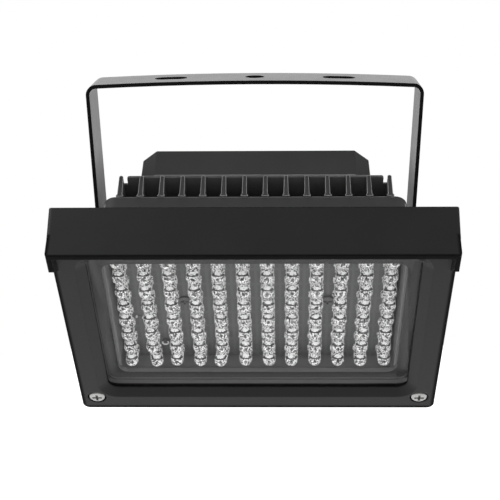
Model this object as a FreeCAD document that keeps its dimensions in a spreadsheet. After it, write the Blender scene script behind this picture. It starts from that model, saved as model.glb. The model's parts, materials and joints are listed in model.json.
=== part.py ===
import FreeCAD, Part
import Sketcher
import math
import os
from FreeCAD import Placement, Rotation, Vector

# Infrared illuminator: a finned lamp head with 96 diodes that tilts in a folded strip bracket.
# Row frame, millimetres: X to the right, Y to the back, Z up. The origin is the centre of the
# bracket's crossbar, on its outer face, and the bracket hangs below it.
# The head is drawn in a frame of its own and then tilted about the pivot: X to the right,
# Y back from the face of the frame, Z up from the frame's lower edge.

LED_COLUMNS = 12
LED_ROWS = 8
FIN_COUNT = 14

# Driving sizes, in millimetres and degrees
SIZES = [
    # Diodes and their board
    ("led_pitch", 9.0),
    ("led_radius", 2.5),
    ("led_flange_radius", 2.9),
    ("led_flange_thick", 1.0),
    ("led_length", 8.6),
    ("led_tip_gap", 0.7),
    ("led_wobble", 1.4),
    ("led_bend", 9.0),
    ("board_thick", 1.6),
    ("board_margin_side", 2.4),
    ("board_margin_end", 6.0),
    ("board_corner", 1.5),
    ("board_clearance", 11.8),
    ("board_screw_radius", 1.5),
    ("board_screw_bite", 6.0),
    ("board_screw_head_radius", 2.7),
    ("board_screw_head", 0.9),
    ("sensor_radius", 1.6),
    ("sensor_length", 1.6),
    # Window, glass and seal
    ("window_margin_side", 5.15),
    ("window_margin_low", 4.2),
    ("window_margin_high", 3.1),
    ("window_corner", 4.0),
    ("mask_thick", 2.0),
    ("ring_side", 4.05),
    ("ring_low", 3.2),
    ("ring_high", 9.3),
    ("glass_thick", 3.0),
    ("seal_leg", 1.0),
    ("seal_cover", 1.6),
    ("seal_web", 1.0),
    ("seat_gap", 0.2),
    # Frame and visor
    ("border_side", 11.3),
    ("border_low", 12.1),
    ("border_high", 12.1),
    ("bevel_width", 3.7),
    ("bevel_depth", 2.4),
    ("lip_edge", 0.8),
    ("lip_overlap", 3.5),
    ("opening_corner", 4.0),
    ("frame_corner", 3.0),
    ("frame_edge", 0.6),
    ("frame_draft", 0.55),
    ("skirt_wall", 2.5),
    ("skirt_overlap", 2.6),
    ("visor_reach", 7.4),
    ("visor_plate", 2.0),
    ("visor_inset", 0.2),
    ("visor_corner", 1.2),
    ("visor_round", 1.0),
    ("cheek_thick", 1.8),
    ("cheek_front", 9.0),
    ("cheek_root", 18.0),
    ("cheek_round", 1.6),
    ("frame_screw_side", 6.25),
    ("frame_screw_low", 8.2),
    ("frame_screw_high", 3.8),
    ("frame_screw_radius", 1.75),
    ("frame_screw_head_radius", 3.3),
    ("frame_screw_head", 2.0),
    ("frame_screw_sink", 1.6),
    ("frame_screw_well_gap", 0.4),
    ("hole_gap", 0.2),
    ("thread_gap", 0.02),
    ("thread_run_out", 0.8),
    # Housing
    ("flange_thick", 3.0),
    ("flange_gap", 0.3),
    ("flange_corner", 2.0),
    ("board_gap_side", 1.8),
    ("board_gap_end", 0.9),
    ("side_wall", 2.1),
    ("end_wall", 3.6),
    ("side_draft", 0.8),
    ("end_draft", 0.7),
    ("floor_thick", 3.0),
    ("cavity_corner", 2.5),
    ("tub_round", 4.6),
    ("tub_edge", 0.5),
    ("post_radius", 3.0),
    ("screw_post_radius", 3.5),
    ("fin_thick", 1.8),
    ("fin_tip", 1.5),
    ("fin_foot", 0.4),
    ("fin_depth", 9.3),
    ("fin_margin", 6.0),
    ("fin_rise", 0.8),
    ("tunnel_radius", 7.0),
    ("tunnel_bore", 3.5),
    ("box_boss_radius", 3.8),
    ("box_boss_offset", 26.0),
    # Driver box
    ("plate_inset", 0.2),
    ("plate_drop", 0.2),
    ("plate_thick", 0.8),
    ("plate_corner", 1.0),
    ("plate_notch_wide", 1.8),
    ("plate_notch_high", 4.0),
    ("box_seal", 0.5),
    ("box_rim", 5.9),
    ("box_drop", 0.3),
    ("box_depth", 12.4),
    ("box_wall", 2.0),
    ("box_bevel", 6.0),
    ("box_draft", 0.6),
    ("box_edge", 0.8),
    ("box_post_radius", 4.0),
    ("box_screw_radius", 2.0),
    ("box_screw_head_radius", 3.6),
    ("box_screw_head", 2.4),
    ("box_screw_bite", 7.0),
    ("driver_side", 30.0),
    ("driver_below", 13.0),
    ("driver_above", 33.0),
    ("driver_corner", 1.0),
    ("driver_thick", 1.6),
    ("driver_spacer", 1.5),
    ("driver_spacer_radius", 2.5),
    ("driver_screw_radius", 1.25),
    ("driver_screw_inset", 4.0),
    ("driver_screw_head_radius", 2.3),
    ("driver_screw_head", 1.5),
    ("coil_radius", 5.0),
    ("coil_thick", 2.3),
    ("capacitor_radius", 2.5),
    ("capacitor_length", 10.0),
    ("lead_radius", 0.7),
    ("lead_spacing", 4.0),
    ("grommet_radius", 4.5),
    ("grommet_lip", 1.0),
    ("grommet_lip_radius", 5.7),
    ("grommet_bore", 2.9),
    # Cable gland
    ("gland_drop", 24.0),
    ("gland_thread", 5.0),
    ("gland_bore", 3.2),
    ("gland_flats", 14.0),
    ("gland_hex", 6.0),
    ("gland_ring_thick", 1.0),
    ("gland_ring_radius", 7.0),
    ("gland_nut", 2.6),
    ("gland_stub", 0.6),
    ("gland_nose", 7.0),
    ("gland_seal_radius", 4.2),
    ("gland_seal_bore", 2.6),
    ("gland_seal_depth", 5.0),
    ("gland_cap_gap", 0.6),
    ("gland_cap_radius", 6.9),
    ("gland_cap_end", 2.0),
    # Bracket and pivots
    ("head_tilt", 37.2),
    ("arm_reach", 80.5),
    ("strip_width", 21.3),
    ("strip_thick", 1.35),
    ("arm_spread", 2.62),
    ("arm_pad", 21.0),
    ("arm_end_flat", 0.25),
    ("arm_clearance", 0.3),
    ("crossbar_bow", 1.5),
    ("bend_radius", 2.4),
    ("slot_offset", 30.7),
    ("slot_length", 12.0),
    ("slot_width", 6.5),
    ("centre_hole_radius", 3.5),
    ("boss_rise", 0.5),
    ("boss_radius", 9.0),
    ("inner_boss_radius", 3.6),
    ("inner_boss_length", 11.0),
    ("pivot_radius", 2.5),
    ("pivot_fit", 0.08),
    ("pivot_play", 0.05),
    ("pivot_bite", 9.0),
    ("friction_washer", 1.0),
    ("friction_washer_radius", 8.0),
    ("flat_washer", 1.0),
    ("flat_washer_radius", 5.0),
    ("spring_washer", 1.3),
    ("spring_washer_radius", 4.2),
    ("washer_gap", 0.15),
    ("bolt_head", 3.5),
    ("bolt_flats", 8.0),
]

os.makedirs("parts", exist_ok=True)
doc = FreeCAD.newDocument("infrared_illuminator")

sheet = doc.addObject("Spreadsheet::Sheet", "Size")
for line, (alias, number) in enumerate(SIZES, start=1):
    sheet.set(f"A{line}", alias)
    sheet.set(f"B{line}", str(number))
    sheet.setAlias(f"B{line}", alias)
doc.recompute()
SIZE_NAMES = [alias for alias, number in SIZES]

place = doc.addObject("App::VarSet", "Place")


def derive(name, expression):
    """A place or outline size that follows from the driving sizes."""
    place.addProperty("App::PropertyFloat", name)
    place.setExpression(name, expression)


def derive_outline(name, parent, side, end=None):
    """An outline that lies outside its parent by one amount at the sides and one at the ends."""
    end = end or side
    derive(f"{name}_half_width", f"Place.{parent}_half_width + ({side})")
    derive(f"{name}_low", f"Place.{parent}_low - ({end})")
    derive(f"{name}_high", f"Place.{parent}_high + ({end})")


def derive_bevels(name, leg):
    """Where the 45 degree corners of an outline start, from the length of their legs."""
    derive(f"{name}_bevel_x", f"Place.{name}_half_width - ({leg})")
    derive(f"{name}_bevel_low", f"Place.{name}_low + ({leg})")
    derive(f"{name}_bevel_high", f"Place.{name}_high - ({leg})")


# Outlines, from the frame's opening and the diodes outwards
derive("led_half_width", f"Size.led_pitch * {LED_COLUMNS - 1} / 2")
derive("led_half_height", f"Size.led_pitch * {LED_ROWS - 1} / 2")
derive("led_low", "Size.border_low + Size.ring_low + Size.window_margin_low")
derive("optic_centre", "Place.led_low + Place.led_half_height")
derive("led_high", "Place.optic_centre + Place.led_half_height")
derive("window_half_width", "Place.led_half_width + Size.window_margin_side")
derive("window_low", "Place.led_low - Size.window_margin_low")
derive("window_high", "Place.led_high + Size.window_margin_high")
derive("opening_half_width", "Place.window_half_width + Size.ring_side")
derive("opening_low", "Place.window_low - Size.ring_low")
derive("opening_high", "Place.window_high + Size.ring_high")
derive("frame_half_width", "Place.opening_half_width + Size.border_side")
derive("frame_top", "Place.opening_high + Size.border_high + Size.visor_plate")
derive_outline("bevel", "opening", "Size.bevel_width")
derive_outline("recess", "opening", "Size.lip_overlap")
derive_outline("seal", "recess", "-Size.seat_gap")
derive_outline("glass", "seal", "-Size.seal_web")
derive_outline("rim", "glass", "-Size.seal_cover")
derive_outline("mask", "rim", "-Size.seat_gap")
derive_outline("board", "led", "Size.board_margin_side", "Size.board_margin_end")
derive_outline("cavity", "board", "Size.board_gap_side", "Size.board_gap_end")
derive_outline("cavity_rear", "cavity", "-Size.side_draft", "-Size.end_draft")
derive_outline("tub", "cavity", "Size.side_wall", "Size.end_wall")
derive_outline("tub_rear", "tub", "-Size.side_draft", "-Size.end_draft")
derive_outline("fin", "tub_rear", "-Size.fin_margin", "Size.fin_rise")
derive_outline("plate", "fin", "-Size.plate_inset", "-Size.fin_rise - Size.plate_drop")
derive_outline("box", "plate", "-Size.box_rim", "-Size.box_drop")
derive_outline("box_rear", "box", "-Size.box_draft", "0")
derive_outline("hollow", "box_rear", "-Size.box_wall")
derive_bevels("box", "Size.box_bevel")
derive_bevels("hollow", "Size.box_bevel - Size.box_draft - Size.box_wall * (2 - sqrt(2))")
derive("plate_end_half_width", "Place.plate_half_width - Size.plate_notch_wide")
derive("plate_side_low", "Place.plate_low + Size.plate_notch_high")
derive("plate_side_high", "Place.plate_high - Size.plate_notch_high")
derive("tub_height", "Place.tub_high - Place.tub_low")
derive("bevel_corner", "Size.opening_corner + Size.bevel_width")
derive("recess_corner", "Size.opening_corner + Size.lip_overlap")
derive("seal_corner", "Place.recess_corner - Size.seat_gap")
derive("glass_corner", "Place.seal_corner - Size.seal_web")
derive("rim_corner", "Place.glass_corner - Size.seal_cover")
derive("mask_corner", "Place.rim_corner - Size.seat_gap")
derive("visor_low", "Place.frame_top - Size.visor_plate")
derive("frame_rear_half_width", "Place.frame_half_width + Size.frame_draft")
derive("skirt_half_width", "Place.frame_half_width - Size.skirt_wall")
derive("flange_half_width", "Place.skirt_half_width - Size.flange_gap")
derive("flange_low", "Size.skirt_wall + Size.flange_gap")
derive("flange_high", "Place.visor_low - Size.flange_gap")
derive("visor_half_width", "Place.frame_half_width - Size.visor_inset")
derive("visor_width", "Place.visor_half_width * 2")
derive("visor_corner_x", "Place.visor_half_width - Size.visor_corner")
derive("visor_corner_front", "Size.visor_reach - Size.visor_corner")
derive("visor_inside", "Place.visor_half_width - Size.cheek_thick")
derive("cheek_low", "Place.frame_top - Size.cheek_root")
derive("cheek_front_low", "Place.frame_top - Size.cheek_front")

# Depths, from the face of the frame to the back
derive("lip_back", "Size.bevel_depth + Size.lip_edge")
derive("glass_front", "Place.lip_back + Size.seal_leg")
derive("glass_back", "Place.glass_front + Size.glass_thick")
derive("flange_front", "Place.glass_back + Size.seal_leg")
derive("flange_back", "Place.flange_front + Size.flange_thick")
derive("mask_back", "Place.glass_back + Size.mask_thick")
derive("mask_pocket", "Place.mask_back - Place.flange_front")
derive("skirt_back", "Place.flange_back + Size.skirt_overlap")
derive("seal_depth", "Place.flange_front - Place.lip_back")
derive("board_front", "Place.glass_back + Size.led_tip_gap + Size.led_length")
derive("board_back", "Place.board_front + Size.board_thick")
derive("floor_front", "Place.board_back + Size.board_clearance")
derive("tub_back", "Place.floor_front + Size.floor_thick")
derive("post_length", "Size.board_clearance + Size.floor_thick / 2")
derive("fin_root", "Place.tub_back - Size.tub_edge")
derive("fin_length", "Size.tub_edge + Size.fin_depth")
derive("plate_front", "Place.tub_back + Size.fin_depth")
derive("plate_back", "Place.plate_front + Size.plate_thick")
derive("box_front", "Place.plate_back + Size.box_seal")
derive("box_back", "Place.box_front + Size.box_depth")
derive("hollow_back", "Place.box_back - Size.box_wall")
derive("hollow_depth", "Place.hollow_back - Place.box_front")
derive("box_post_length", "Place.hollow_depth + Size.box_wall / 2")
derive("driver_front", "Place.plate_back + Size.driver_spacer")
derive("driver_back", "Place.driver_front + Size.driver_thick")

# Holes, screws and bosses
derive("frame_screw_x", "Place.frame_half_width - Size.frame_screw_side")
derive("frame_screw_up", "Place.visor_low - Size.frame_screw_high")
derive("frame_screw_hole", "Size.frame_screw_radius + Size.hole_gap")
derive("frame_screw_thread", "Size.frame_screw_radius + Size.thread_gap")
derive("frame_screw_well", "Size.frame_screw_head_radius + Size.frame_screw_well_gap")
derive("frame_screw_grip", "Place.flange_back - Size.frame_screw_sink")
derive("board_screw_x", "Size.led_pitch * 3")
derive("board_screw_hole", "Size.board_screw_radius + Size.hole_gap")
derive("board_screw_thread", "Size.board_screw_radius + Size.thread_gap")
derive("board_thread_depth", "Size.board_screw_bite + Size.thread_run_out")
derive("post_x", "Size.led_pitch * 5")
derive("post_low", "Place.optic_centre - Size.led_pitch * 3")
derive("post_high", "Place.optic_centre + Size.led_pitch * 3")
derive("sensor_x", "-Size.led_pitch * 4")
derive("sensor_up", "Place.led_low + Size.led_pitch / 2")
derive("fin_pitch", f"Place.fin_half_width * 2 / {FIN_COUNT - 1}")
for stage, half_thick in (("foot", "Size.fin_thick / 2 + Size.fin_foot"),
                          ("side", "Size.fin_thick / 2"), ("tip", "Size.fin_tip / 2")):
    derive(f"fin_{stage}_outer", f"Place.fin_half_width + {half_thick}")
    derive(f"fin_{stage}_inner", f"Place.fin_half_width - ({half_thick})")
derive("fin_height", "Place.fin_high - Place.fin_low")
derive("fin_foot_back", "Place.tub_back + Size.fin_foot")
derive("fin_shoulder", "Place.plate_front - Size.fin_tip / 2")
derive("box_screw_x", "Place.fin_pitch * 5")
derive("box_screw_low", "Place.optic_centre - Size.box_boss_offset")
derive("box_screw_high", "Place.optic_centre + Size.box_boss_offset")
derive("box_screw_hole", "Size.box_screw_radius + Size.hole_gap")
derive("box_screw_thread", "Size.box_screw_radius + Size.thread_gap")
derive("box_thread_depth", "Size.box_screw_bite + Size.thread_run_out")
derive("grommet_seat_radius", "Size.grommet_lip_radius + Size.seat_gap")
derive("grommet_seat_depth", "Size.grommet_lip + Size.seat_gap")
derive("grommet_hole", "Size.grommet_radius + Size.thread_gap")
derive("driver_low", "Place.optic_centre - Size.driver_below")
derive("driver_high", "Place.optic_centre + Size.driver_above")
derive("driver_screw_x", "Size.driver_side - Size.driver_screw_inset")
derive("driver_screw_low", "Place.driver_low + Size.driver_screw_inset")
derive("driver_screw_high", "Place.driver_high - Size.driver_screw_inset")
derive("driver_screw_hole", "Size.driver_screw_radius + Size.thread_gap")
derive("gland_up", "Place.optic_centre - Size.gland_drop")
derive("gland_hole", "Size.gland_thread + Size.hole_gap")

# Bracket and pivots
derive("strip_half_width", "Size.strip_width / 2")
derive("arm_round", "Place.strip_half_width - Size.arm_end_flat")
derive("pivot_back", "Place.flange_back + Size.arm_clearance + Place.strip_half_width")
derive("tub_slope", "Size.side_draft / (Place.tub_back - Place.flange_back)")
derive("pivot_side", "Place.tub_half_width - Place.tub_slope * (Place.pivot_back - Place.flange_back)")
derive("boss_face", "Place.pivot_side + Size.boss_rise")
derive("boss_root", "Place.pivot_side - Size.side_wall / 2")
derive("boss_height", "Place.boss_face - Place.boss_root")
derive("inner_boss_reach", "Size.inner_boss_length - Place.boss_height")
derive("pivot_thread", "Size.pivot_radius + Size.thread_gap")
derive("pivot_thread_depth", "Size.pivot_bite + Size.thread_run_out")
derive("pivot_hole", "Size.pivot_radius + Size.pivot_fit")
derive("arm_inner", "Place.boss_face + Size.friction_washer + Size.pivot_play")
derive("arm_outer", "Place.arm_inner + Size.strip_thick")
derive("arm_end", "Size.arm_reach + Place.strip_half_width")
derive("arm_knee", "Size.arm_reach - Size.arm_pad")
derive("crossbar_outer", "Place.arm_outer + Size.arm_spread")
derive("crossbar_inner", "Place.crossbar_outer - Size.strip_thick")
derive("bow_radius", "(Place.crossbar_outer ^ 2 + Size.crossbar_bow ^ 2) / (2 * Size.crossbar_bow)")
derive("bow_under", "Place.bow_radius - Size.strip_thick")
derive("crossbar_drop", "Place.bow_radius - sqrt(Place.bow_under ^ 2 - Place.crossbar_inner ^ 2)")
derive("bend_outer", "Size.bend_radius + Size.strip_thick")
derive("slot_radius", "Size.slot_width / 2")
derive("slot_near", "Size.slot_offset - Size.slot_length / 2 + Place.slot_radius")
derive("slot_far", "Size.slot_offset + Size.slot_length / 2 - Place.slot_radius")
doc.recompute()


def value(name):
    """The number that a size or place holds; a leading minus negates it and None is zero."""
    if not name:
        return 0.0
    bare = name.lstrip("-")
    number = sheet.get(bare) if bare in SIZE_NAMES else getattr(place, bare)
    return -number if name.startswith("-") else number


def ref(name):
    """The expression that binds a property to a size or place."""
    bare = name.lstrip("-")
    holder = "Size" if bare in SIZE_NAMES else "Place"
    return f"-({holder}.{bare})" if name.startswith("-") else f"{holder}.{bare}"


def new_body(label):
    body = doc.addObject("PartDesign::Body", label)
    body.Label = label
    return body


def new_sketch(body, name, role, offset=None):
    """A sketch on one of the body's own planes, moved along its normal by a named amount."""
    sketch = body.newObject("Sketcher::SketchObject", f"{body.Label}_{name}")
    plane = next(item for item in body.Origin.OriginFeatures if item.Role == role)
    sketch.AttachmentSupport = (plane, [""])
    sketch.MapMode = "FlatFace"
    if offset:
        sketch.setExpression("AttachmentOffset.Base.z", ref(offset))
    doc.recompute()
    return sketch


def front_sketch(body, name, depth=None):
    """A sketch seen from the front, at a named depth behind the face of the frame."""
    return new_sketch(body, name, "XZ_Plane", f"-{depth}" if depth else None)


def pin(sketch, geometry, point, x, y):
    """Fix a point of a sketch by the names of its coordinates; None lays it on an axis."""
    for kind, axis, name in (("DistanceX", -2, x), ("DistanceY", -1, y)):
        if name:
            constraint = Sketcher.Constraint(kind, -1, 1, geometry, point, value(name))
            index = sketch.addConstraint(constraint)
            sketch.setExpression(f"Constraints[{index}]", ref(name))
        else:
            sketch.addConstraint(Sketcher.Constraint("PointOnObject", geometry, point, axis))


def polygon(sketch, points, arcs=None):
    """A closed outline through points whose coordinates are named. arcs maps a side to the
    centre of its arc, whether it turns clockwise, and the coordinate that fixes the centre."""
    arcs = arcs or {}
    corners = [Vector(value(x), value(y), 0) for x, y in points]
    count = len(points)
    first = sketch.GeometryCount
    starts = []
    for side in range(count):
        here = corners[side]
        there = corners[(side + 1) % count]
        if side not in arcs:
            sketch.addGeometry(Part.LineSegment(here, there), False)
            starts.append((1, 2))
            continue
        centre_x, centre_y, clockwise, kind = arcs[side]
        centre = Vector(value(centre_x), value(centre_y), 0)
        begin, end = (there, here) if clockwise else (here, there)
        angles = [math.atan2(point.y - centre.y, point.x - centre.x) for point in (begin, end)]
        round_side = Part.Circle(centre, Vector(0, 0, 1), (here - centre).Length)
        sketch.addGeometry(Part.ArcOfCircle(round_side, *angles), False)
        starts.append((2, 1) if clockwise else (1, 2))
    for side in range(count):
        after = (side + 1) % count
        ends = (first + side, starts[side][1], first + after, starts[after][0])
        sketch.addConstraint(Sketcher.Constraint("Coincident", *ends))
        pin(sketch, first + side, starts[side][0], *points[side])
    for side, (centre_x, centre_y, clockwise, kind) in arcs.items():
        name = centre_x if kind == "DistanceX" else centre_y
        constraint = Sketcher.Constraint(kind, -1, 1, first + side, 3, value(name))
        index = sketch.addConstraint(constraint)
        sketch.setExpression(f"Constraints[{index}]", ref(name))


def outline(sketch, half_width, low, high, corner=None):
    """A rectangle about X = 0, with round corners if a corner radius is named."""
    minus = f"-{half_width}"
    if not corner:
        polygon(sketch, [(minus, low), (half_width, low), (half_width, high), (minus, high)])
        return
    half, bottom, top, radius = (value(name) for name in (half_width, low, high, corner))
    first = sketch.GeometryCount
    sides = [
        ((-half + radius, bottom), (half - radius, bottom)),
        ((half, bottom + radius), (half, top - radius)),
        ((half - radius, top), (-half + radius, top)),
        ((-half, top - radius), (-half, bottom + radius)),
    ]
    for start, end in sides:
        sketch.addGeometry(Part.LineSegment(Vector(*start, 0), Vector(*end, 0)), False)
    for turn, (side, level) in enumerate([(1, bottom), (1, top), (-1, top), (-1, bottom)]):
        inwards = radius if level == bottom else -radius
        centre = Vector(side * (half - radius), level + inwards, 0)
        start = math.radians(90 * turn - 90)
        corner_circle = Part.Circle(centre, Vector(0, 0, 1), radius)
        sketch.addGeometry(Part.ArcOfCircle(corner_circle, start, start + math.pi / 2), False)
    for index in range(4):
        line = first + index
        arc = first + 4 + index
        after = first + (index + 1) % 4
        sketch.addConstraint(Sketcher.Constraint("Tangent", line, 2, arc, 1))
        sketch.addConstraint(Sketcher.Constraint("Tangent", arc, 2, after, 1))
        sketch.addConstraint(Sketcher.Constraint("Vertical" if index % 2 else "Horizontal", line))
    for arc in range(first + 5, first + 8):
        sketch.addConstraint(Sketcher.Constraint("Equal", first + 4, arc))
    bind_radius(sketch, first + 4, corner)
    for index, (kind, name) in enumerate([("DistanceY", low), ("DistanceX", half_width),
                                          ("DistanceY", high), ("DistanceX", minus)]):
        constraint = Sketcher.Constraint(kind, -1, 1, first + index, 1, value(name))
        number = sketch.addConstraint(constraint)
        sketch.setExpression(f"Constraints[{number}]", ref(name))


def bevelled_outline(sketch, name):
    """A rectangle about X = 0 with its corners cut at 45 degrees."""
    half, low, high = (f"{name}_{end}" for end in ("half_width", "low", "high"))
    side, bottom, top = (f"{name}_bevel_{end}" for end in ("x", "low", "high"))
    polygon(sketch, [(f"-{side}", low), (side, low), (half, bottom), (half, top),
                     (side, high), (f"-{side}", high), (f"-{half}", top), (f"-{half}", bottom)])


def bind_radius(sketch, geometry, name):
    index = sketch.addConstraint(Sketcher.Constraint("Radius", geometry, value(name)))
    sketch.setExpression(f"Constraints[{index}]", ref(name))


def circle(sketch, x, y, radius):
    """A circle whose centre and radius are named; None lays the centre on an axis."""
    centre = Vector(value(x), value(y), 0)
    index = sketch.addGeometry(Part.Circle(centre, Vector(0, 0, 1), value(radius)), False)
    pin(sketch, index, 3, x, y)
    bind_radius(sketch, index, radius)


def four_circles(sketch, x, low, high, radius):
    for side in (x, f"-{x}"):
        for level in (low, high):
            circle(sketch, side, level, radius)


def pad(body, sketch, length, along_normal=False, both_ways=False):
    """Solid of a sketch. A front sketch grows to the back unless along_normal is set."""
    feature = body.newObject("PartDesign::Pad", f"{sketch.Name}_pad")
    feature.Profile = sketch
    feature.setExpression("Length", ref(length))
    feature.Reversed = not along_normal
    feature.Midplane = both_ways
    doc.recompute()
    return feature


def pocket(body, sketch, depth=None, along_normal=False, both_ways=False):
    """Cut of a sketch to a named depth or through all. A front sketch cuts to the back
    unless along_normal is set."""
    feature = body.newObject("PartDesign::Pocket", f"{sketch.Name}_pocket")
    feature.Profile = sketch
    if depth:
        feature.setExpression("Length", ref(depth))
    else:
        feature.Type = "ThroughAll"
    feature.Reversed = along_normal
    feature.Midplane = both_ways
    doc.recompute()
    return feature


def loft(body, kind, front, back):
    """Solid or cut that runs straight from one sketch to another."""
    feature = body.newObject(f"PartDesign::{kind}", f"{front.Name}_loft")
    feature.Profile = front
    feature.Sections = [(back, [""])]
    feature.Ruled = True
    doc.recompute()
    return feature


def fillet(body, radius, test):
    """Round every edge of the body so far that passes the test."""
    base = body.Tip
    names = [f"Edge{index}" for index, edge in enumerate(base.Shape.Edges, start=1) if test(edge)]
    feature = body.newObject("PartDesign::Fillet", f"{body.Label}_{radius}")
    feature.Base = (base, names)
    feature.setExpression("Radius", ref(radius))
    doc.recompute()
    return feature


def near(number, target):
    return abs(number - target) < 0.01


def lies_along(edge, axis):
    """Whether an edge is a straight line that keeps to the X, Y or Z direction."""
    if not isinstance(edge.Curve, Part.Line):
        return False
    step = edge.Vertexes[1].Point - edge.Vertexes[0].Point
    return near(abs(getattr(step, axis)), step.Length)


def in_head(item):
    """Lay a piece that is drawn in the head's frame where the tilted head holds it."""
    tilt = Rotation(Vector(1, 0, 0), value("head_tilt"))
    item.Placement = Placement(Vector(0, 0, 0), tilt)
    across = "Place.optic_centre * sin(Size.head_tilt) - Place.pivot_back * cos(Size.head_tilt)"
    rise = "Place.optic_centre * cos(Size.head_tilt) + Place.pivot_back * sin(Size.head_tilt)"
    item.setExpression("Placement.Rotation.Angle", "Size.head_tilt")
    item.setExpression("Placement.Base.y", across)
    item.setExpression("Placement.Base.z", f"-(Size.arm_reach) - ({rise})")
    return item


def group(label, shapes):
    """A node made of separate solids that are drawn in the head's frame."""
    item = doc.addObject("Part::Feature", label)
    item.Label = label
    item.Shape = shapes[0] if len(shapes) == 1 else Part.makeCompound(shapes)
    return in_head(item)


def rod(radius, x, z, front, back):
    """A round bar along Y between two depths."""
    return Part.makeCylinder(radius, back - front, Vector(x, front, z), Vector(0, 1, 0))


def tube(radius, bore, x, z, front, back):
    return rod(radius, x, z, front, back).cut(rod(bore, x, z, front, back))


def block(x, z, front, back, width, height):
    """A box between two depths, centred on x and z."""
    return Part.makeBox(width, back - front, height, Vector(x - width / 2, front, z - height / 2))


def hex_bar(flats, base, direction, length):
    """A hexagonal bar from a base point along a direction."""
    side = Vector(direction.y, direction.x, 0) * (flats / math.sqrt(3))
    corners = [base + Rotation(direction, 60 * step).multVec(side) for step in range(7)]
    return Part.Face(Part.makePolygon(corners)).extrude(direction * length)


def pan_screw(x, z, seat, radius, grip, head_radius, head):
    """A cross-recessed pan-head screw that points to the back, its head before the seat."""
    top = rod(head_radius, x, z, seat - head, seat)
    rim = [edge for edge in top.Edges if near(edge.BoundBox.YMax, seat - head)]
    top = top.makeFillet(head * 0.6, rim)
    for width, height in ((1.15, 0.28), (0.28, 1.15)):
        slot = block(x, z, seat - head, seat - head * 0.4, width * head_radius, height * head_radius)
        top = top.cut(slot)
    return top.fuse(rod(radius, x, z, seat, seat + grip)).removeSplitter()


def facing_back(shape, seat):
    """The same piece turned round at a depth, to point the other way."""
    return shape.mirror(Vector(0, seat, 0), Vector(0, 1, 0))


def make_front_frame():
    """Die-cast bezel: border, bevelled opening, glass recess, skirt, visor and its cheeks."""
    body = new_body("front_frame")
    block_outline = front_sketch(body, "outline")
    outline(block_outline, "frame_rear_half_width", None, "frame_top")
    pad(body, block_outline, "skirt_back")
    draft = new_sketch(body, "draft", "XY_Plane")
    for side in ("", "-"):
        polygon(draft, [(f"{side}frame_half_width", None), (f"{side}frame_rear_half_width", None),
                        (f"{side}frame_rear_half_width", "skirt_back")])
    pocket(body, draft, along_normal=True)
    top = value("frame_top")
    fillet(body, "frame_corner", lambda edge: edge.BoundBox.YLength > 1 and near(edge.BoundBox.ZMax, 0))
    fillet(body, "visor_round", lambda edge: edge.BoundBox.YLength > 1 and near(edge.BoundBox.ZMin, top))
    fillet(body, "frame_edge", lambda edge: near(edge.BoundBox.YMax, 0))

    visor = new_sketch(body, "visor", "YZ_Plane")
    polygon(visor, [("frame_edge", "frame_top"), ("-visor_reach", "frame_top"),
                    ("-visor_reach", "cheek_front_low"), (None, "cheek_low"),
                    ("frame_edge", "cheek_low")])
    pad(body, visor, "visor_width", both_ways=True)
    reach = value("visor_reach")
    nose = value("cheek_front_low")
    fillet(body, "cheek_round", lambda edge: lies_along(edge, "x")
           and near(edge.BoundBox.YMin, -reach) and near(edge.BoundBox.ZMin, nose))
    corners = new_sketch(body, "corners", "XY_Plane")
    for side in ("", "-"):
        start, tip = f"{side}visor_corner_x", f"{side}visor_half_width"
        polygon(corners, [(start, "-visor_reach"), (tip, "-visor_reach"), (tip, "-visor_corner_front")],
                {2: (start, "-visor_corner_front", not side, "DistanceX")})
    pocket(body, corners, along_normal=True)
    inside = new_sketch(body, "inside", "XZ_Plane", "visor_reach")
    outline(inside, "visor_inside", "glass_low", "visor_low")
    pocket(body, inside, "visor_reach")

    recess = front_sketch(body, "recess", "lip_back")
    outline(recess, "recess_half_width", "recess_low", "recess_high", "recess_corner")
    pocket(body, recess)
    skirt = front_sketch(body, "skirt", "flange_front")
    outline(skirt, "skirt_half_width", "skirt_wall", "visor_low")
    pocket(body, skirt)
    lip = front_sketch(body, "lip")
    outline(lip, "opening_half_width", "opening_low", "opening_high", "opening_corner")
    pocket(body, lip)
    bevel_front = front_sketch(body, "bevel_front")
    outline(bevel_front, "bevel_half_width", "bevel_low", "bevel_high", "bevel_corner")
    bevel_back = front_sketch(body, "bevel_back", "bevel_depth")
    outline(bevel_back, "opening_half_width", "opening_low", "opening_high", "opening_corner")
    loft(body, "SubtractiveLoft", bevel_front, bevel_back)
    holes = front_sketch(body, "holes")
    four_circles(holes, "frame_screw_x", "frame_screw_low", "frame_screw_up", "frame_screw_hole")
    pocket(body, holes)
    wells = front_sketch(body, "wells")
    four_circles(wells, "frame_screw_x", "frame_screw_low", "frame_screw_up", "frame_screw_well")
    pocket(body, wells, "frame_screw_sink")
    return in_head(body)


def make_glass_seal():
    """Rubber ring of U section that holds the edge of the glass."""
    body = new_body("glass_seal")
    ring = front_sketch(body, "ring", "lip_back")
    outline(ring, "seal_half_width", "seal_low", "seal_high", "seal_corner")
    pad(body, ring, "seal_depth")
    inner = front_sketch(body, "inner", "lip_back")
    outline(inner, "rim_half_width", "rim_low", "rim_high", "rim_corner")
    pocket(body, inner)
    groove = front_sketch(body, "groove", "glass_front")
    outline(groove, "glass_half_width", "glass_low", "glass_high", "glass_corner")
    pocket(body, groove, "glass_thick")
    return in_head(body)


def make_front_glass():
    body = new_body("front_glass")
    sheet_outline = front_sketch(body, "outline", "glass_front")
    outline(sheet_outline, "glass_half_width", "glass_low", "glass_high", "glass_corner")
    pad(body, sheet_outline, "glass_thick")
    return in_head(body)


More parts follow.
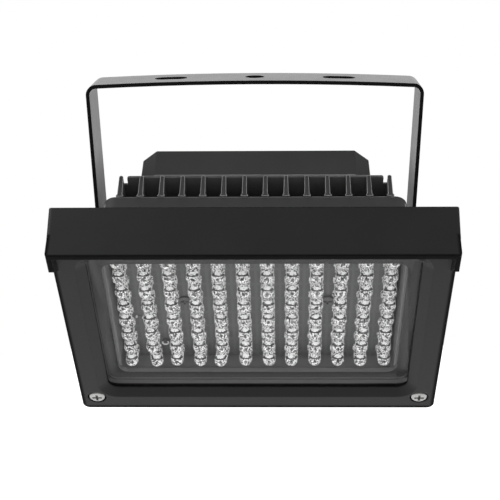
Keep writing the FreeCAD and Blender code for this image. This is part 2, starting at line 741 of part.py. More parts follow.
def make_window_mask():
    """Dark ring behind the glass that covers the rim of the housing."""
    body = new_body("window_mask")
    ring = front_sketch(body, "ring", "glass_back")
    outline(ring, "mask_half_width", "mask_low", "mask_high", "mask_corner")
    pad(body, ring, "mask_thick")
    window = front_sketch(body, "window", "glass_back")
    outline(window, "window_half_width", "window_low", "window_high", "window_corner")
    pocket(body, window)
    return in_head(body)


def make_led_board():
    body = new_body("led_board")
    board = front_sketch(body, "board", "board_front")
    outline(board, "board_half_width", "board_low", "board_high", "board_corner")
    pad(body, board, "board_thick")
    holes = front_sketch(body, "holes", "board_front")
    circle(holes, "board_screw_x", "optic_centre", "board_screw_hole")
    circle(holes, "-board_screw_x", "optic_centre", "board_screw_hole")
    pocket(body, holes)
    return in_head(body)


def make_led():
    """One clear diode: it stands on its flange at the origin and points to the front."""
    radius = value("led_radius")
    flange = value("led_flange_radius")
    step = -value("led_flange_thick")
    tip = -value("led_length")
    shoulder = tip + radius
    halfway = radius * math.sqrt(0.5)
    corners = [(0, 0), (flange, 0), (flange, step), (radius, step), (radius, shoulder)]
    points = [Vector(x, y, 0) for x, y in corners]
    edges = [Part.makeLine(points[index], points[index + 1]) for index in range(4)]
    top = Vector(0, tip, 0)
    dome = Part.Arc(points[4], Vector(halfway, shoulder - halfway, 0), top)
    edges += [dome.toShape(), Part.makeLine(top, points[0])]
    return Part.Face(Part.Wire(edges)).revolve(Vector(0, 0, 0), Vector(0, 1, 0), 360)


def lean_of(column, row):
    """How far a diode leans, in degrees to the right and down: a little by a formula, and
    two diodes of the lowest row plainly."""
    wobble = value("led_wobble")
    bend = value("led_bend")
    if row == 0 and column in (1, 4):
        return (bend if column == 1 else -bend), 0.0
    return wobble * math.sin(2.4 * column + 1.7 * row), wobble * math.cos(1.9 * column + 3.1 * row)


def make_led_column(column):
    """One string of diodes, from the lowest row up."""
    pitch = value("led_pitch")
    shapes = []
    for row in range(LED_ROWS):
        right, down = lean_of(column, row)
        lift = value("led_flange_radius") * math.sin(math.radians(math.hypot(right, down)))
        led = make_led()
        led.rotate(Vector(0, 0, 0), Vector(0, 0, 1), right)
        led.rotate(Vector(0, 0, 0), Vector(1, 0, 0), down)
        x = pitch * column - value("led_half_width")
        z = value("led_low") + pitch * row
        led.translate(Vector(x, value("board_front") - lift, z))
        shapes.append(led)
    return group(f"led_column_{column + 1:02d}", shapes)


def make_light_sensor():
    front = value("board_front") - value("sensor_length")
    sensor = rod(value("sensor_radius"), value("sensor_x"), value("sensor_up"), front, value("board_front"))
    rim = [edge for edge in sensor.Edges if near(edge.BoundBox.YMax, front)]
    return group("light_sensor", [sensor.makeFillet(value("sensor_radius") / 3, rim)])


def make_board_screws():
    """Two screws with low heads that hold the diode board to its posts."""
    shapes = []
    for side in (-1, 1):
        screw = pan_screw(side * value("board_screw_x"), value("optic_centre"), value("board_front"),
                          value("board_screw_radius"),
                          value("board_thick") + value("board_screw_bite"),
                          value("board_screw_head_radius"), value("board_screw_head"))
        shapes.append(screw)
    return group("board_screws", shapes)


def make_rear_housing():
    """One casting: flange, tub, upright fins, posts for the board, bosses and wire tunnel."""
    body = new_body("rear_housing")
    flange = front_sketch(body, "flange", "flange_front")
    outline(flange, "flange_half_width", "flange_low", "flange_high", "flange_corner")
    pad(body, flange, "flange_thick")
    plan = new_sketch(body, "tub_plan", "XY_Plane", "tub_low")
    polygon(plan, [("-tub_half_width", "flange_back"), ("tub_half_width", "flange_back"),
                   ("tub_rear_half_width", "tub_back"), ("-tub_rear_half_width", "tub_back")])
    pad(body, plan, "tub_height", along_normal=True)
    draft = new_sketch(body, "tub_draft", "YZ_Plane")
    polygon(draft, [("flange_back", "tub_high"), ("tub_back", "tub_rear_high"), ("tub_back", "tub_high")])
    polygon(draft, [("flange_back", "tub_low"), ("tub_back", "tub_low"), ("tub_back", "tub_rear_low")])
    pocket(body, draft, both_ways=True)
    rear = value("tub_back")
    fillet(body, "tub_round", lambda edge: edge.BoundBox.YLength > (rear - value("flange_back")) / 2)
    fillet(body, "tub_edge", lambda edge: near(edge.BoundBox.YMin, rear))

    for side, along in (("", True), ("-", False)):
        boss = new_sketch(body, f"boss_{int(along)}", "YZ_Plane", f"{side}boss_root")
        circle(boss, "pivot_back", "optic_centre", "boss_radius")
        pad(body, boss, "boss_height", along_normal=along)

    pocket_front = front_sketch(body, "mask_seat", "flange_front")
    outline(pocket_front, "rim_half_width", "rim_low", "rim_high", "rim_corner")
    pocket(body, pocket_front, "mask_pocket")
    cavity_front = front_sketch(body, "cavity_front", "mask_back")
    outline(cavity_front, "cavity_half_width", "cavity_low", "cavity_high", "cavity_corner")
    cavity_back = front_sketch(body, "cavity_back", "floor_front")
    outline(cavity_back, "cavity_rear_half_width", "cavity_rear_low", "cavity_rear_high", "cavity_corner")
    loft(body, "SubtractiveLoft", cavity_front, cavity_back)

    for side, along in (("", True), ("-", False)):
        inner = new_sketch(body, f"inner_boss_{int(along)}", "YZ_Plane", f"{side}boss_root")
        circle(inner, "pivot_back", "optic_centre", "inner_boss_radius")
        pad(body, inner, "inner_boss_reach", along_normal=not along)
        thread = new_sketch(body, f"pivot_thread_{int(along)}", "YZ_Plane", f"{side}boss_face")
        circle(thread, "pivot_back", "optic_centre", "pivot_thread")
        pocket(body, thread, "pivot_thread_depth", along_normal=not along)

    posts = front_sketch(body, "posts", "board_back")
    four_circles(posts, "post_x", "post_low", "post_high", "post_radius")
    circle(posts, "board_screw_x", "optic_centre", "screw_post_radius")
    circle(posts, "-board_screw_x", "optic_centre", "screw_post_radius")
    pad(body, posts, "post_length")
    threads = front_sketch(body, "board_threads", "board_back")
    circle(threads, "board_screw_x", "optic_centre", "board_screw_thread")
    circle(threads, "-board_screw_x", "optic_centre", "board_screw_thread")
    pocket(body, threads, "board_thread_depth")

    bosses = front_sketch(body, "box_bosses", "fin_root")
    four_circles(bosses, "box_screw_x", "box_screw_low", "box_screw_high", "box_boss_radius")
    pad(body, bosses, "fin_length")
    tunnel = front_sketch(body, "tunnel", "fin_root")
    circle(tunnel, None, "optic_centre", "tunnel_radius")
    pad(body, tunnel, "fin_length")
    fin = new_sketch(body, "fin", "XY_Plane", "fin_low")
    polygon(fin, [("-fin_foot_outer", "fin_root"), ("-fin_foot_inner", "fin_root"),
                  ("-fin_foot_inner", "tub_back"), ("-fin_side_inner", "fin_foot_back"),
                  ("-fin_tip_inner", "fin_shoulder"), ("-fin_tip_outer", "fin_shoulder"),
                  ("-fin_side_outer", "fin_foot_back"), ("-fin_foot_outer", "tub_back")],
            {4: ("-fin_half_width", "fin_shoulder", False, "DistanceY")})
    fin_pad = pad(body, fin, "fin_height", along_normal=True)
    row = body.newObject("PartDesign::LinearPattern", "fin_row")
    row.Originals = [fin_pad]
    row.Direction = (next(item for item in body.Origin.OriginFeatures if item.Role == "X_Axis"), [""])
    row.setExpression("Length", "Place.fin_half_width * 2")
    row.Occurrences = FIN_COUNT
    body.Tip = row
    doc.recompute()

    tunnel_bore = front_sketch(body, "tunnel_bore", "floor_front")
    circle(tunnel_bore, None, "optic_centre", "tunnel_bore")
    pocket(body, tunnel_bore)
    grommet_seat = front_sketch(body, "grommet_seat", "plate_front")
    circle(grommet_seat, None, "optic_centre", "grommet_seat_radius")
    pocket(body, grommet_seat, "grommet_seat_depth", along_normal=True)
    box_threads = front_sketch(body, "box_threads", "plate_front")
    four_circles(box_threads, "box_screw_x", "box_screw_low", "box_screw_high", "box_screw_thread")
    pocket(body, box_threads, "box_thread_depth", along_normal=True)
    frame_threads = front_sketch(body, "frame_threads", "flange_front")
    four_circles(frame_threads, "frame_screw_x", "frame_screw_low", "frame_screw_up", "frame_screw_thread")
    pocket(body, frame_threads)
    return in_head(body)


def make_frame_screws():
    """Four screws through the frame into the housing's flange."""
    shapes = []
    for side in (-1, 1):
        for level in ("frame_screw_low", "frame_screw_up"):
            screw = pan_screw(side * value("frame_screw_x"), value(level), value("frame_screw_sink"),
                              value("frame_screw_radius"), value("frame_screw_grip"),
                              value("frame_screw_head_radius"), value("frame_screw_head"))
            shapes.append(screw)
    return group("frame_screws", shapes)


def make_driver_base_plate():
    """Plate across the backs of the fins that closes the driver box, narrower at its ends."""
    body = new_body("driver_base_plate")
    plate = front_sketch(body, "plate", "plate_front")
    outline(plate, "plate_end_half_width", "plate_low", "plate_high", "plate_corner")
    pad(body, plate, "plate_thick")
    middle = front_sketch(body, "middle", "plate_front")
    outline(middle, "plate_half_width", "plate_side_low", "plate_side_high")
    pad(body, middle, "plate_thick")
    holes = front_sketch(body, "holes", "plate_front")
    four_circles(holes, "box_screw_x", "box_screw_low", "box_screw_high", "box_screw_hole")
    four_circles(holes, "driver_screw_x", "driver_screw_low", "driver_screw_high", "driver_screw_hole")
    circle(holes, None, "optic_centre", "grommet_hole")
    pocket(body, holes)
    return in_head(body)


def make_tunnel_grommet():
    """Rubber grommet that guards the two leads in the plate's hole."""
    front = value("plate_front")
    back = value("plate_back")
    lip = value("grommet_lip")
    up = value("optic_centre")
    shape = rod(value("grommet_radius"), 0, up, front - lip, back + lip)
    for start in (front - lip, back):
        shape = shape.fuse(rod(value("grommet_lip_radius"), 0, up, start, start + lip))
    shape = shape.cut(rod(value("grommet_bore"), 0, up, front - lip, back + lip))
    return group("tunnel_grommet", [shape.removeSplitter()])


def make_driver_box_seal():
    body = new_body("driver_box_seal")
    ring = front_sketch(body, "ring", "plate_back")
    bevelled_outline(ring, "box")
    pad(body, ring, "box_seal")
    fillet(body, "box_edge", lambda edge: lies_along(edge, "y"))
    inner = front_sketch(body, "inner", "plate_back")
    bevelled_outline(inner, "hollow")
    pocket(body, inner)
    return in_head(body)


def make_driver_box():
    """Shallow cast box on the back with drafted sides and bevelled corners, open in front."""
    body = new_body("driver_box")
    shell = front_sketch(body, "shell", "box_front")
    bevelled_outline(shell, "box")
    pad(body, shell, "box_depth")
    draft = new_sketch(body, "draft", "XY_Plane")
    for side in ("", "-"):
        polygon(draft, [(f"{side}box_half_width", "box_front"), (f"{side}box_half_width", "box_back"),
                        (f"{side}box_rear_half_width", "box_back")])
    pocket(body, draft, along_normal=True)
    rear = value("box_back")
    fillet(body, "box_edge", lambda edge: near(edge.BoundBox.YMax, rear))
    hollow = front_sketch(body, "hollow", "box_front")
    bevelled_outline(hollow, "hollow")
    pocket(body, hollow, "hollow_depth")
    posts = front_sketch(body, "posts", "box_front")
    four_circles(posts, "box_screw_x", "box_screw_low", "box_screw_high", "box_post_radius")
    pad(body, posts, "box_post_length")
    holes = front_sketch(body, "holes", "box_front")
    four_circles(holes, "box_screw_x", "box_screw_low", "box_screw_high", "box_screw_hole")
    circle(holes, None, "gland_up", "gland_hole")
    pocket(body, holes)
    return in_head(body)


def make_driver_box_screws():
    """Four screws from the back through box and plate into the housing's bosses."""
    seat = value("box_back")
    grip = seat - value("plate_front") + value("box_screw_bite")
    shapes = []
    for side in (-1, 1):
        for level in ("box_screw_low", "box_screw_high"):
            screw = pan_screw(side * value("box_screw_x"), value(level), seat,
                              value("box_screw_radius"), grip,
                              value("box_screw_head_radius"), value("box_screw_head"))
            shapes.append(facing_back(screw, seat))
    return group("driver_box_screws", shapes)


def make_driver_board():
    body = new_body("driver_board")
    board = front_sketch(body, "board", "driver_front")
    outline(board, "driver_side", "driver_low", "driver_high", "driver_corner")
    pad(body, board, "driver_thick")
    holes = front_sketch(body, "holes", "driver_front")
    four_circles(holes, "driver_screw_x", "driver_screw_low", "driver_screw_high", "driver_screw_hole")
    pocket(body, holes)
    return in_head(body)


def make_driver_fixings():
    """Four spacers under the driver board and the screws that hold it to the plate."""
    seat = value("driver_back")
    spacers = []
    screws = []
    for side in (-1, 1):
        for level in ("driver_screw_low", "driver_screw_high"):
            x = side * value("driver_screw_x")
            z = value(level)
            spacers.append(tube(value("driver_spacer_radius"), value("driver_screw_hole"), x, z,
                                value("plate_back"), value("driver_front")))
            screw = pan_screw(x, z, seat, value("driver_screw_radius"), seat - value("plate_front"),
                              value("driver_screw_head_radius"), value("driver_screw_head"))
            screws.append(facing_back(screw, seat))
    group("driver_spacers", spacers)
    group("driver_board_screws", screws)


def make_driver_parts():
    """Coil, capacitors, chip and terminal block on the back of the driver board."""
    face = value("driver_back")
    up = value("optic_centre")
    thick = value("coil_thick")
    coil = Part.makeTorus(value("coil_radius"), thick, Vector(-14, face + thick, up + 15), Vector(0, 1, 0))
    group("driver_coil", [coil])
    radius = value("capacitor_radius")
    cans = []
    for z in (up + 11, up + 18):
        base = Vector(6, face + radius, z)
        cans.append(Part.makeCylinder(radius, value("capacitor_length"), base, Vector(1, 0, 0)))
    group("driver_capacitors", cans)
    group("driver_chip", [block(2, up + 3, face, face + 1.6, 6, 5)])
    terminal = block(0, up - 7, face, face + 5.2, 11, 7)
    for x in (-2.5, 2.5):
        terminal = terminal.cut(rod(1.4, x, up - 7, face + 3.2, face + 5.2))
    group("terminal_block", [terminal])


def make_led_leads():
    """The pair of short leads between the two boards, through the tunnel."""
    half = value("lead_spacing") / 2
    leads = [rod(value("lead_radius"), x, value("optic_centre"), value("board_back"), value("driver_front"))
             for x in (-half, half)]
    group("led_leads", leads)


def make_gland():
    """Cable gland in the back of the driver box, from the locknut inside to the cap outside."""
    up = value("gland_up")
    back = Vector(0, 1, 0)
    wall_in = value("hollow_back")
    wall_out = value("box_back")
    thread = value("gland_thread")
    tight = thread + value("thread_gap")
    flats = value("gland_flats")
    nut_front = wall_in - value("gland_nut")
    nut = hex_bar(flats, Vector(0, nut_front, up), back, value("gland_nut"))
    group("gland_locknut", [nut.cut(rod(tight, 0, up, nut_front, wall_in))])

    ring_back = wall_out + value("gland_ring_thick")
    group("gland_ring", [tube(value("gland_ring_radius"), tight, 0, up, wall_out, ring_back)])

    hex_back = ring_back + value("gland_hex")
    nose_back = hex_back + value("gland_nose")
    stub = nut_front - value("gland_stub")
    seat = nose_back - value("gland_seal_depth")
    shape = hex_bar(flats, Vector(0, ring_back, up), back, value("gland_hex"))
    shape = shape.fuse(rod(thread, 0, up, stub, nose_back))
    shape = shape.cut(rod(value("gland_bore"), 0, up, stub, nose_back))
    shape = shape.cut(rod(value("gland_seal_radius"), 0, up, seat, nose_back))
    group("gland_body", [shape.removeSplitter()])

    seal_radius = value("gland_seal_radius") - value("thread_gap")
    group("gland_seal", [tube(seal_radius, value("gland_seal_bore"), 0, up, seat, nose_back)])

    cap_front = hex_back + value("gland_cap_gap")
    cap_back = nose_back + value("gland_cap_end")
    cap = rod(value("gland_cap_radius"), 0, up, cap_front, cap_back)
    rim = [edge for edge in cap.Edges if near(edge.BoundBox.YMin, cap_back)]
    cap = cap.makeFillet(value("gland_cap_end") * 0.6, rim)
    cap = cap.cut(rod(tight, 0, up, cap_front, nose_back))
    group("gland_cap", [cap.cut(rod(value("gland_bore"), 0, up, cap_front, cap_back))])


def make_pivots():
    """The pair of pivots: bolt, spring washer, flat washer, and the friction washer inside."""
    across = Vector(1, 0, 0)
    y = value("pivot_back")
    z = value("optic_centre")
    bore = value("pivot_hole")

    def disc(radius, start, thick):
        return Part.makeCylinder(radius, thick, Vector(start, y, z), across)

    def both_sides(label, shape):
        group(label, [shape.mirror(Vector(0, 0, 0), across), shape])

    face = value("boss_face")
    friction = value("friction_washer")
    ring = disc(value("friction_washer_radius"), face, friction).cut(disc(bore, face, friction))
    both_sides("friction_washers", ring)

    flat_start = value("arm_outer") + value("pivot_play")
    flat = value("flat_washer")
    ring = disc(value("flat_washer_radius"), flat_start, flat).cut(disc(bore, flat_start, flat))
    both_sides("pivot_washers", ring)

    spring_start = flat_start + flat
    spring = value("spring_washer")
    radius = value("spring_washer_radius")
    bore = value("pivot_radius") + value("washer_gap")
    ring = disc(radius, spring_start, spring).cut(disc(bore, spring_start, spring))
    slit = Part.makeBox(spring, spring / 2, radius, Vector(spring_start, y - spring / 4, z))
    both_sides("spring_washers", ring.cut(slit))

    seat = spring_start + spring
    head = hex_bar(value("bolt_flats"), Vector(seat, y, z), across, value("bolt_head"))
    crown = disc(value("bolt_flats") * 0.56, seat - 1, value("bolt_head") + 1)
    rim = [edge for edge in crown.Edges if near(edge.BoundBox.XMin, seat + value("bolt_head"))]
    head = head.common(crown.makeChamfer(value("bolt_flats") * 0.06, rim))
    inner_end = face - value("pivot_bite")
    shank = disc(value("pivot_radius"), inner_end, seat - inner_end)
    both_sides("pivot_bolts", head.fuse(shank).removeSplitter())


def make_bracket():
    """One folded strip: a bowed crossbar, two arms that close in to straight pads with round
    ends, two slots and a centre hole for its screws, and the pivot holes."""
    body = new_body("bracket")
    profile = new_sketch(body, "profile", "XZ_Plane")
    right = [("arm_outer", "-arm_knee"), ("arm_outer", "-arm_end"),
             ("arm_inner", "-arm_end"), ("arm_inner", "-arm_knee")]
    left = [(f"-{x}", z) for x, z in reversed(right)]
    points = [("-crossbar_outer", "-crossbar_bow"), ("crossbar_outer", "-crossbar_bow")] + right
    points += [("crossbar_inner", "-crossbar_drop"), ("-crossbar_inner", "-crossbar_drop")] + left
    arcs = {0: (None, "-bow_radius", True, "DistanceY"), 6: (None, "-bow_radius", False, "DistanceY")}
    polygon(profile, points, arcs)
    pad(body, profile, "strip_width", both_ways=True)
    outer = value("crossbar_outer")
    inner = value("crossbar_inner")
    fillet(body, "bend_outer", lambda edge: lies_along(edge, "y")
           and near(abs(edge.BoundBox.XMin), outer))
    fillet(body, "bend_radius", lambda edge: lies_along(edge, "y")
           and near(abs(edge.BoundBox.XMin), inner))
    end = value("arm_end")
    fillet(body, "arm_round", lambda edge: lies_along(edge, "x") and near(edge.BoundBox.ZMin, -end))

    holes = new_sketch(body, "holes", "XY_Plane")
    circle(holes, None, None, "centre_hole_radius")
    for side in ("", "-"):
        near_end, far_end = (f"{side}slot_near", f"{side}slot_far")
        low, high = (near_end, far_end) if not side else (far_end, near_end)
        points = [(low, "-slot_radius"), (high, "-slot_radius"), (high, "slot_radius"), (low, "slot_radius")]
        arcs = {1: (high, None, False, "DistanceX"), 3: (low, None, False, "DistanceX")}
        polygon(holes, points, arcs)
    pocket(body, holes)
    pivots = new_sketch(body, "pivots", "YZ_Plane")
    circle(pivots, None, "-arm_reach", "pivot_hole")
    pocket(body, pivots, both_ways=True)
    return body


def check_document():
    """Stop on any feature that failed, any cut that cut nothing and any invalid solid."""
    for item in doc.Objects:
        if "Invalid" in item.State or "Error" in item.State:
            raise RuntimeError(f"{item.Label}: {item.State}")
        if item.TypeId == "PartDesign::Pocket":
            removed = item.BaseFeature.Shape.Volume - item.Shape.Volume
            if removed < 0.01:
                raise RuntimeError(f"{item.Label} cuts nothing")


def export_parts():
    for item in doc.Objects:
        if item.TypeId not in ("PartDesign::Body", "Part::Feature"):
            continue
        shape = item.Shape
        if shape.isNull() or not shape.isValid() or not shape.Solids:
            raise RuntimeError(f"{item.Label} has no valid solid")
        shape.exportStep(f"parts/{item.Label}.step")
        print(f"{item.Label}: {len(shape.Solids)} solids, {shape.Volume / 1000:.2f} cm3")


make_bracket()
make_front_frame()
make_glass_seal()
make_front_glass()
make_window_mask()
make_led_board()
for column in range(LED_COLUMNS):
    make_led_column(column)
make_light_sensor()
make_board_screws()
make_rear_housing()
make_frame_screws()
make_driver_base_plate()
make_tunnel_grommet()
make_driver_box_seal()
make_driver_box()
make_driver_box_screws()
make_driver_board()
make_driver_fixings()
make_driver_parts()
make_led_leads()
make_gland()
make_pivots()
doc.recompute()
check_document()
export_parts()
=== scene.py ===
"""Looks of an infrared illuminator: its finishes, its detailed pieces and a studio stage."""

import json
import math

import bpy
from mathutils import Matrix, Vector


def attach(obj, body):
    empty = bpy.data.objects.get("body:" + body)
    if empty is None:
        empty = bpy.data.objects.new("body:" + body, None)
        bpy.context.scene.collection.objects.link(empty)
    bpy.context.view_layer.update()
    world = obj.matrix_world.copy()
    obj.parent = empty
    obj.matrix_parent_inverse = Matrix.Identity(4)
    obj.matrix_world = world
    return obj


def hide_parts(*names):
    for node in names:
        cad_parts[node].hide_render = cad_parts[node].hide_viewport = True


bl_info = {
    "name": "Infrared Illuminator",
    "version": (1, 0, 0),
    "blender": (4, 5, 0),
    "location": "View3D > Sidebar > Illuminator",
    "description": "Finishes and detailed pieces of a bracket-mounted infrared illuminator",
    "category": "Object",
}

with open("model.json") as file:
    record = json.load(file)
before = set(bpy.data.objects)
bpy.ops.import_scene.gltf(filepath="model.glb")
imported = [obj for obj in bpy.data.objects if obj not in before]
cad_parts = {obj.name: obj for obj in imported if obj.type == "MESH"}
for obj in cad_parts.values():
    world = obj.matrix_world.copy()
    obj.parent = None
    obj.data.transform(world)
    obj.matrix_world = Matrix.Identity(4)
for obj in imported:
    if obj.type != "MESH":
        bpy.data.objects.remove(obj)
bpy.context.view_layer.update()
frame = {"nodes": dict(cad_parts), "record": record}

MM = 0.001
HEAD = "lamp_head"


# Places


def head_place(tilt, reach, back, up):
    """The matrix from the head's own axes, X right, Y back and Z up from the frame's lower edge,
    to the row frame, with the head tilted on its pivots."""
    return (Matrix.Translation((0, 0, -reach))
            @ Matrix.Rotation(tilt, 4, "X")
            @ Matrix.Translation((0, -back, -up)))


HEAD_TILT = math.radians(37.2)
PIVOT_REACH = 80.5 * MM
PIVOT_BACK = 22.15 * MM
PIVOT_UP = 51.0 * MM
TO_ROW = head_place(HEAD_TILT, PIVOT_REACH, PIVOT_BACK, PIVOT_UP)

# Places on the head, in its own axes
WINDOW_HALF_WIDTH = 58.7 * MM
WINDOW_HALF_HEIGHT = 41.4 * MM
WINDOW_MIDDLE_UP = 53.5 * MM
WINDOW_CORNER = 4 * MM
GLASS_FRONT = 4.2 * MM
RING_FRONT = 7.2 * MM
BOARD_FRONT = 16.5 * MM
DIODE_PITCH = 9 * MM
DIODE_LOW = 19.5 * MM
CHIP_AT = (-45 * MM, BOARD_FRONT, 40.5 * MM)
CHIP_TURN = math.radians(-12)
LOOP_AT = (-36 * MM, BOARD_FRONT - 2.6 * MM, 26.2 * MM)
FINS_FRONT = 32.4 * MM
PLATE_FRONT = 42.2 * MM
GLAND_FRONT = 63.5 * MM
GLAND_BACK = 71.9 * MM
GLAND_UP = 27 * MM

# The camera and the lamp, in the row frame
CAMERA_TARGET = Vector((-1.07, -48.94, -52.66)) * MM
CAMERA_DISTANCE = 456.56 * MM
CAMERA_ANGLES = [math.radians(angle) for angle in (14.76, -1.41, -0.12)]
KEY_AT = (-0.55, 0.25, 0.75)
KEY_TARGET = (0, 0, -0.07)
KEY_SIZE = 0.7
FLOOR_RADIUS = 0.8
FLOOR_MIDDLE_BACK = 0.15
FLOOR_GLOW = 0.72


# Modelling helpers


def deselect():
    if bpy.context.object and bpy.context.object.mode != "OBJECT":
        bpy.ops.object.mode_set(mode="OBJECT")
    bpy.ops.object.select_all(action="DESELECT")


def activate(piece):
    """Make the piece the only selected one."""
    deselect()
    piece.select_set(True)
    bpy.context.view_layer.objects.active = piece


def started(name):
    """The primitive that was just added, named."""
    piece = bpy.context.active_object
    piece.name = name
    piece.data.name = name
    return piece


def cylinder(name, radius, low, high, sides=24):
    deselect()
    bpy.ops.mesh.primitive_cylinder_add(vertices=sides, radius=radius, depth=high - low,
                                        location=(0, 0, (low + high) / 2))
    piece = started(name)
    bpy.ops.object.transform_apply(location=True, rotation=True, scale=True)
    return piece


def box(name, low, high):
    deselect()
    centre = [(a + b) / 2 for a, b in zip(low, high)]
    bpy.ops.mesh.primitive_cube_add(size=1, location=centre)
    piece = started(name)
    piece.scale = [b - a for a, b in zip(low, high)]
    bpy.ops.object.transform_apply(location=True, rotation=True, scale=True)
    return piece


def pick_faces(piece, test):
    """Enter edit mode with just the faces selected whose centre and normal pass the test."""
    activate(piece)
    bpy.ops.object.mode_set(mode="EDIT")
    bpy.ops.mesh.select_mode(type="FACE")
    bpy.ops.mesh.select_all(action="DESELECT")
    bpy.ops.object.mode_set(mode="OBJECT")
    for face in piece.data.polygons:
        face.select = bool(test(face.center, face.normal))
    bpy.ops.object.mode_set(mode="EDIT")


def pick_all(piece):
    """Enter edit mode with everything selected."""
    activate(piece)
    bpy.ops.object.mode_set(mode="EDIT")
    bpy.ops.mesh.select_all(action="SELECT")


def done():
    bpy.ops.object.mode_set(mode="OBJECT")


def rise(height, shrink=1.0):
    """Extrude the selected cap along Z and scale it about its axis."""
    bpy.ops.mesh.extrude_region_move(TRANSFORM_OT_translate={"value": (0, 0, height)})
    if shrink != 1.0:
        bpy.ops.transform.resize(value=(shrink, shrink, 1))


def turned(name, profile, sides=32):
    """A solid of revolution about Z: a disc of the first radius that is extruded ring by ring."""
    (radius, low), rest = profile[0], profile[1:]
    first_radius, first_height = rest[0]
    piece = cylinder(name, radius, low, first_height if first_height > low else low + MM, sides)
    pick_faces(piece, lambda at, normal: normal.z > 0.9)
    if first_radius != radius:
        bpy.ops.transform.resize(value=(first_radius / radius, first_radius / radius, 1))
    last_radius, last_height = first_radius, first_height
    for next_radius, height in rest[1:]:
        if next_radius == 0:
            bpy.ops.mesh.extrude_region_move(
                TRANSFORM_OT_translate={"value": (0, 0, height - last_height)})
            bpy.ops.mesh.merge(type="CENTER")
            break
        rise(height - last_height, next_radius / last_radius)
        last_radius, last_height = next_radius, height
    done()
    return piece


def copy_of(piece, name):
    """A copy with its own mesh."""
    twin = piece.copy()
    twin.data = piece.data.copy()
    twin.name = name
    twin.data.name = name
    bpy.context.scene.collection.objects.link(twin)
    return twin


def lay(piece, place):
    """Put the piece at a place, which goes into its mesh."""
    activate(piece)
    piece.matrix_world = place
    bpy.ops.object.transform_apply(location=True, rotation=True, scale=True)
    return piece


def joined(pieces, name):
    """The pieces as one mesh object."""
    deselect()
    for piece in pieces:
        piece.select_set(True)
    bpy.context.view_layer.objects.active = pieces[0]
    bpy.ops.object.join()
    return started(name)


def smooth(piece, angle=35):
    activate(piece)
    bpy.ops.object.shade_smooth_by_angle(angle=math.radians(angle))
    return piece


def rounded(piece, width, segments=2, angle=30):
    """Bevel the piece's sharp edges with an applied modifier."""
    activate(piece)
    bevel = piece.modifiers.new("rounding", "BEVEL")
    bevel.width = width
    bevel.segments = segments
    bevel.limit_method = "ANGLE"
    bevel.angle_limit = math.radians(angle)
    bpy.ops.object.modifier_apply(modifier=bevel.name)
    return piece


def outward(piece):
    """Merge what coincides and turn every face outwards."""
    pick_all(piece)
    bpy.ops.mesh.remove_doubles(threshold=1e-6)
    bpy.ops.mesh.normals_make_consistent(inside=False)
    done()
    return piece


def finish_piece(piece, body, surface, stands_for=()):
    """Give a piece its finish, its body and the nodes that it stands for."""
    piece.data.materials.clear()
    piece.data.materials.append(surface)
    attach(piece, body)
    if stands_for:
        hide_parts(*stands_for)
    return piece


# Shader trees


class Wire:
    """A number socket that Python's operators calculate with."""

    def __init__(self, tree, socket):
        self.tree = tree
        self.socket = socket

    def calc(self, operation, *others, before=None):
        node = self.tree.nodes.new("ShaderNodeMath")
        node.operation = operation
        items = [self, *others] if before is None else [before, self]
        for index, item in enumerate(items):
            feed(self.tree, node.inputs[index], item)
        return Wire(self.tree, node.outputs[0])

    def __add__(self, other):
        return self.calc("ADD", other)

    __radd__ = __add__

    def __sub__(self, other):
        return self.calc("SUBTRACT", other)

    def __rsub__(self, other):
        return self.calc("SUBTRACT", before=other)

    def __mul__(self, other):
        return self.calc("MULTIPLY", other)

    __rmul__ = __mul__

    def __pow__(self, other):
        return self.calc("POWER", other)

    def above(self, other):
        return self.calc("GREATER_THAN", other)

    def below(self, other):
        return self.calc("LESS_THAN", other)

    def least(self, other):
        return self.calc("MINIMUM", other)

    def most(self, other):
        return self.calc("MAXIMUM", other)

    def size(self):
        return self.calc("ABSOLUTE")

    def wrap(self, step):
        """Distance from the nearest multiple of step."""
        return self.calc("PINGPONG", step / 2)


def feed(tree, socket, item):
    """Link a wire to a socket, or set the socket's own value."""
    if isinstance(item, Wire):
        tree.links.new(item.socket, socket)
    elif item is not None:
        socket.default_value = item


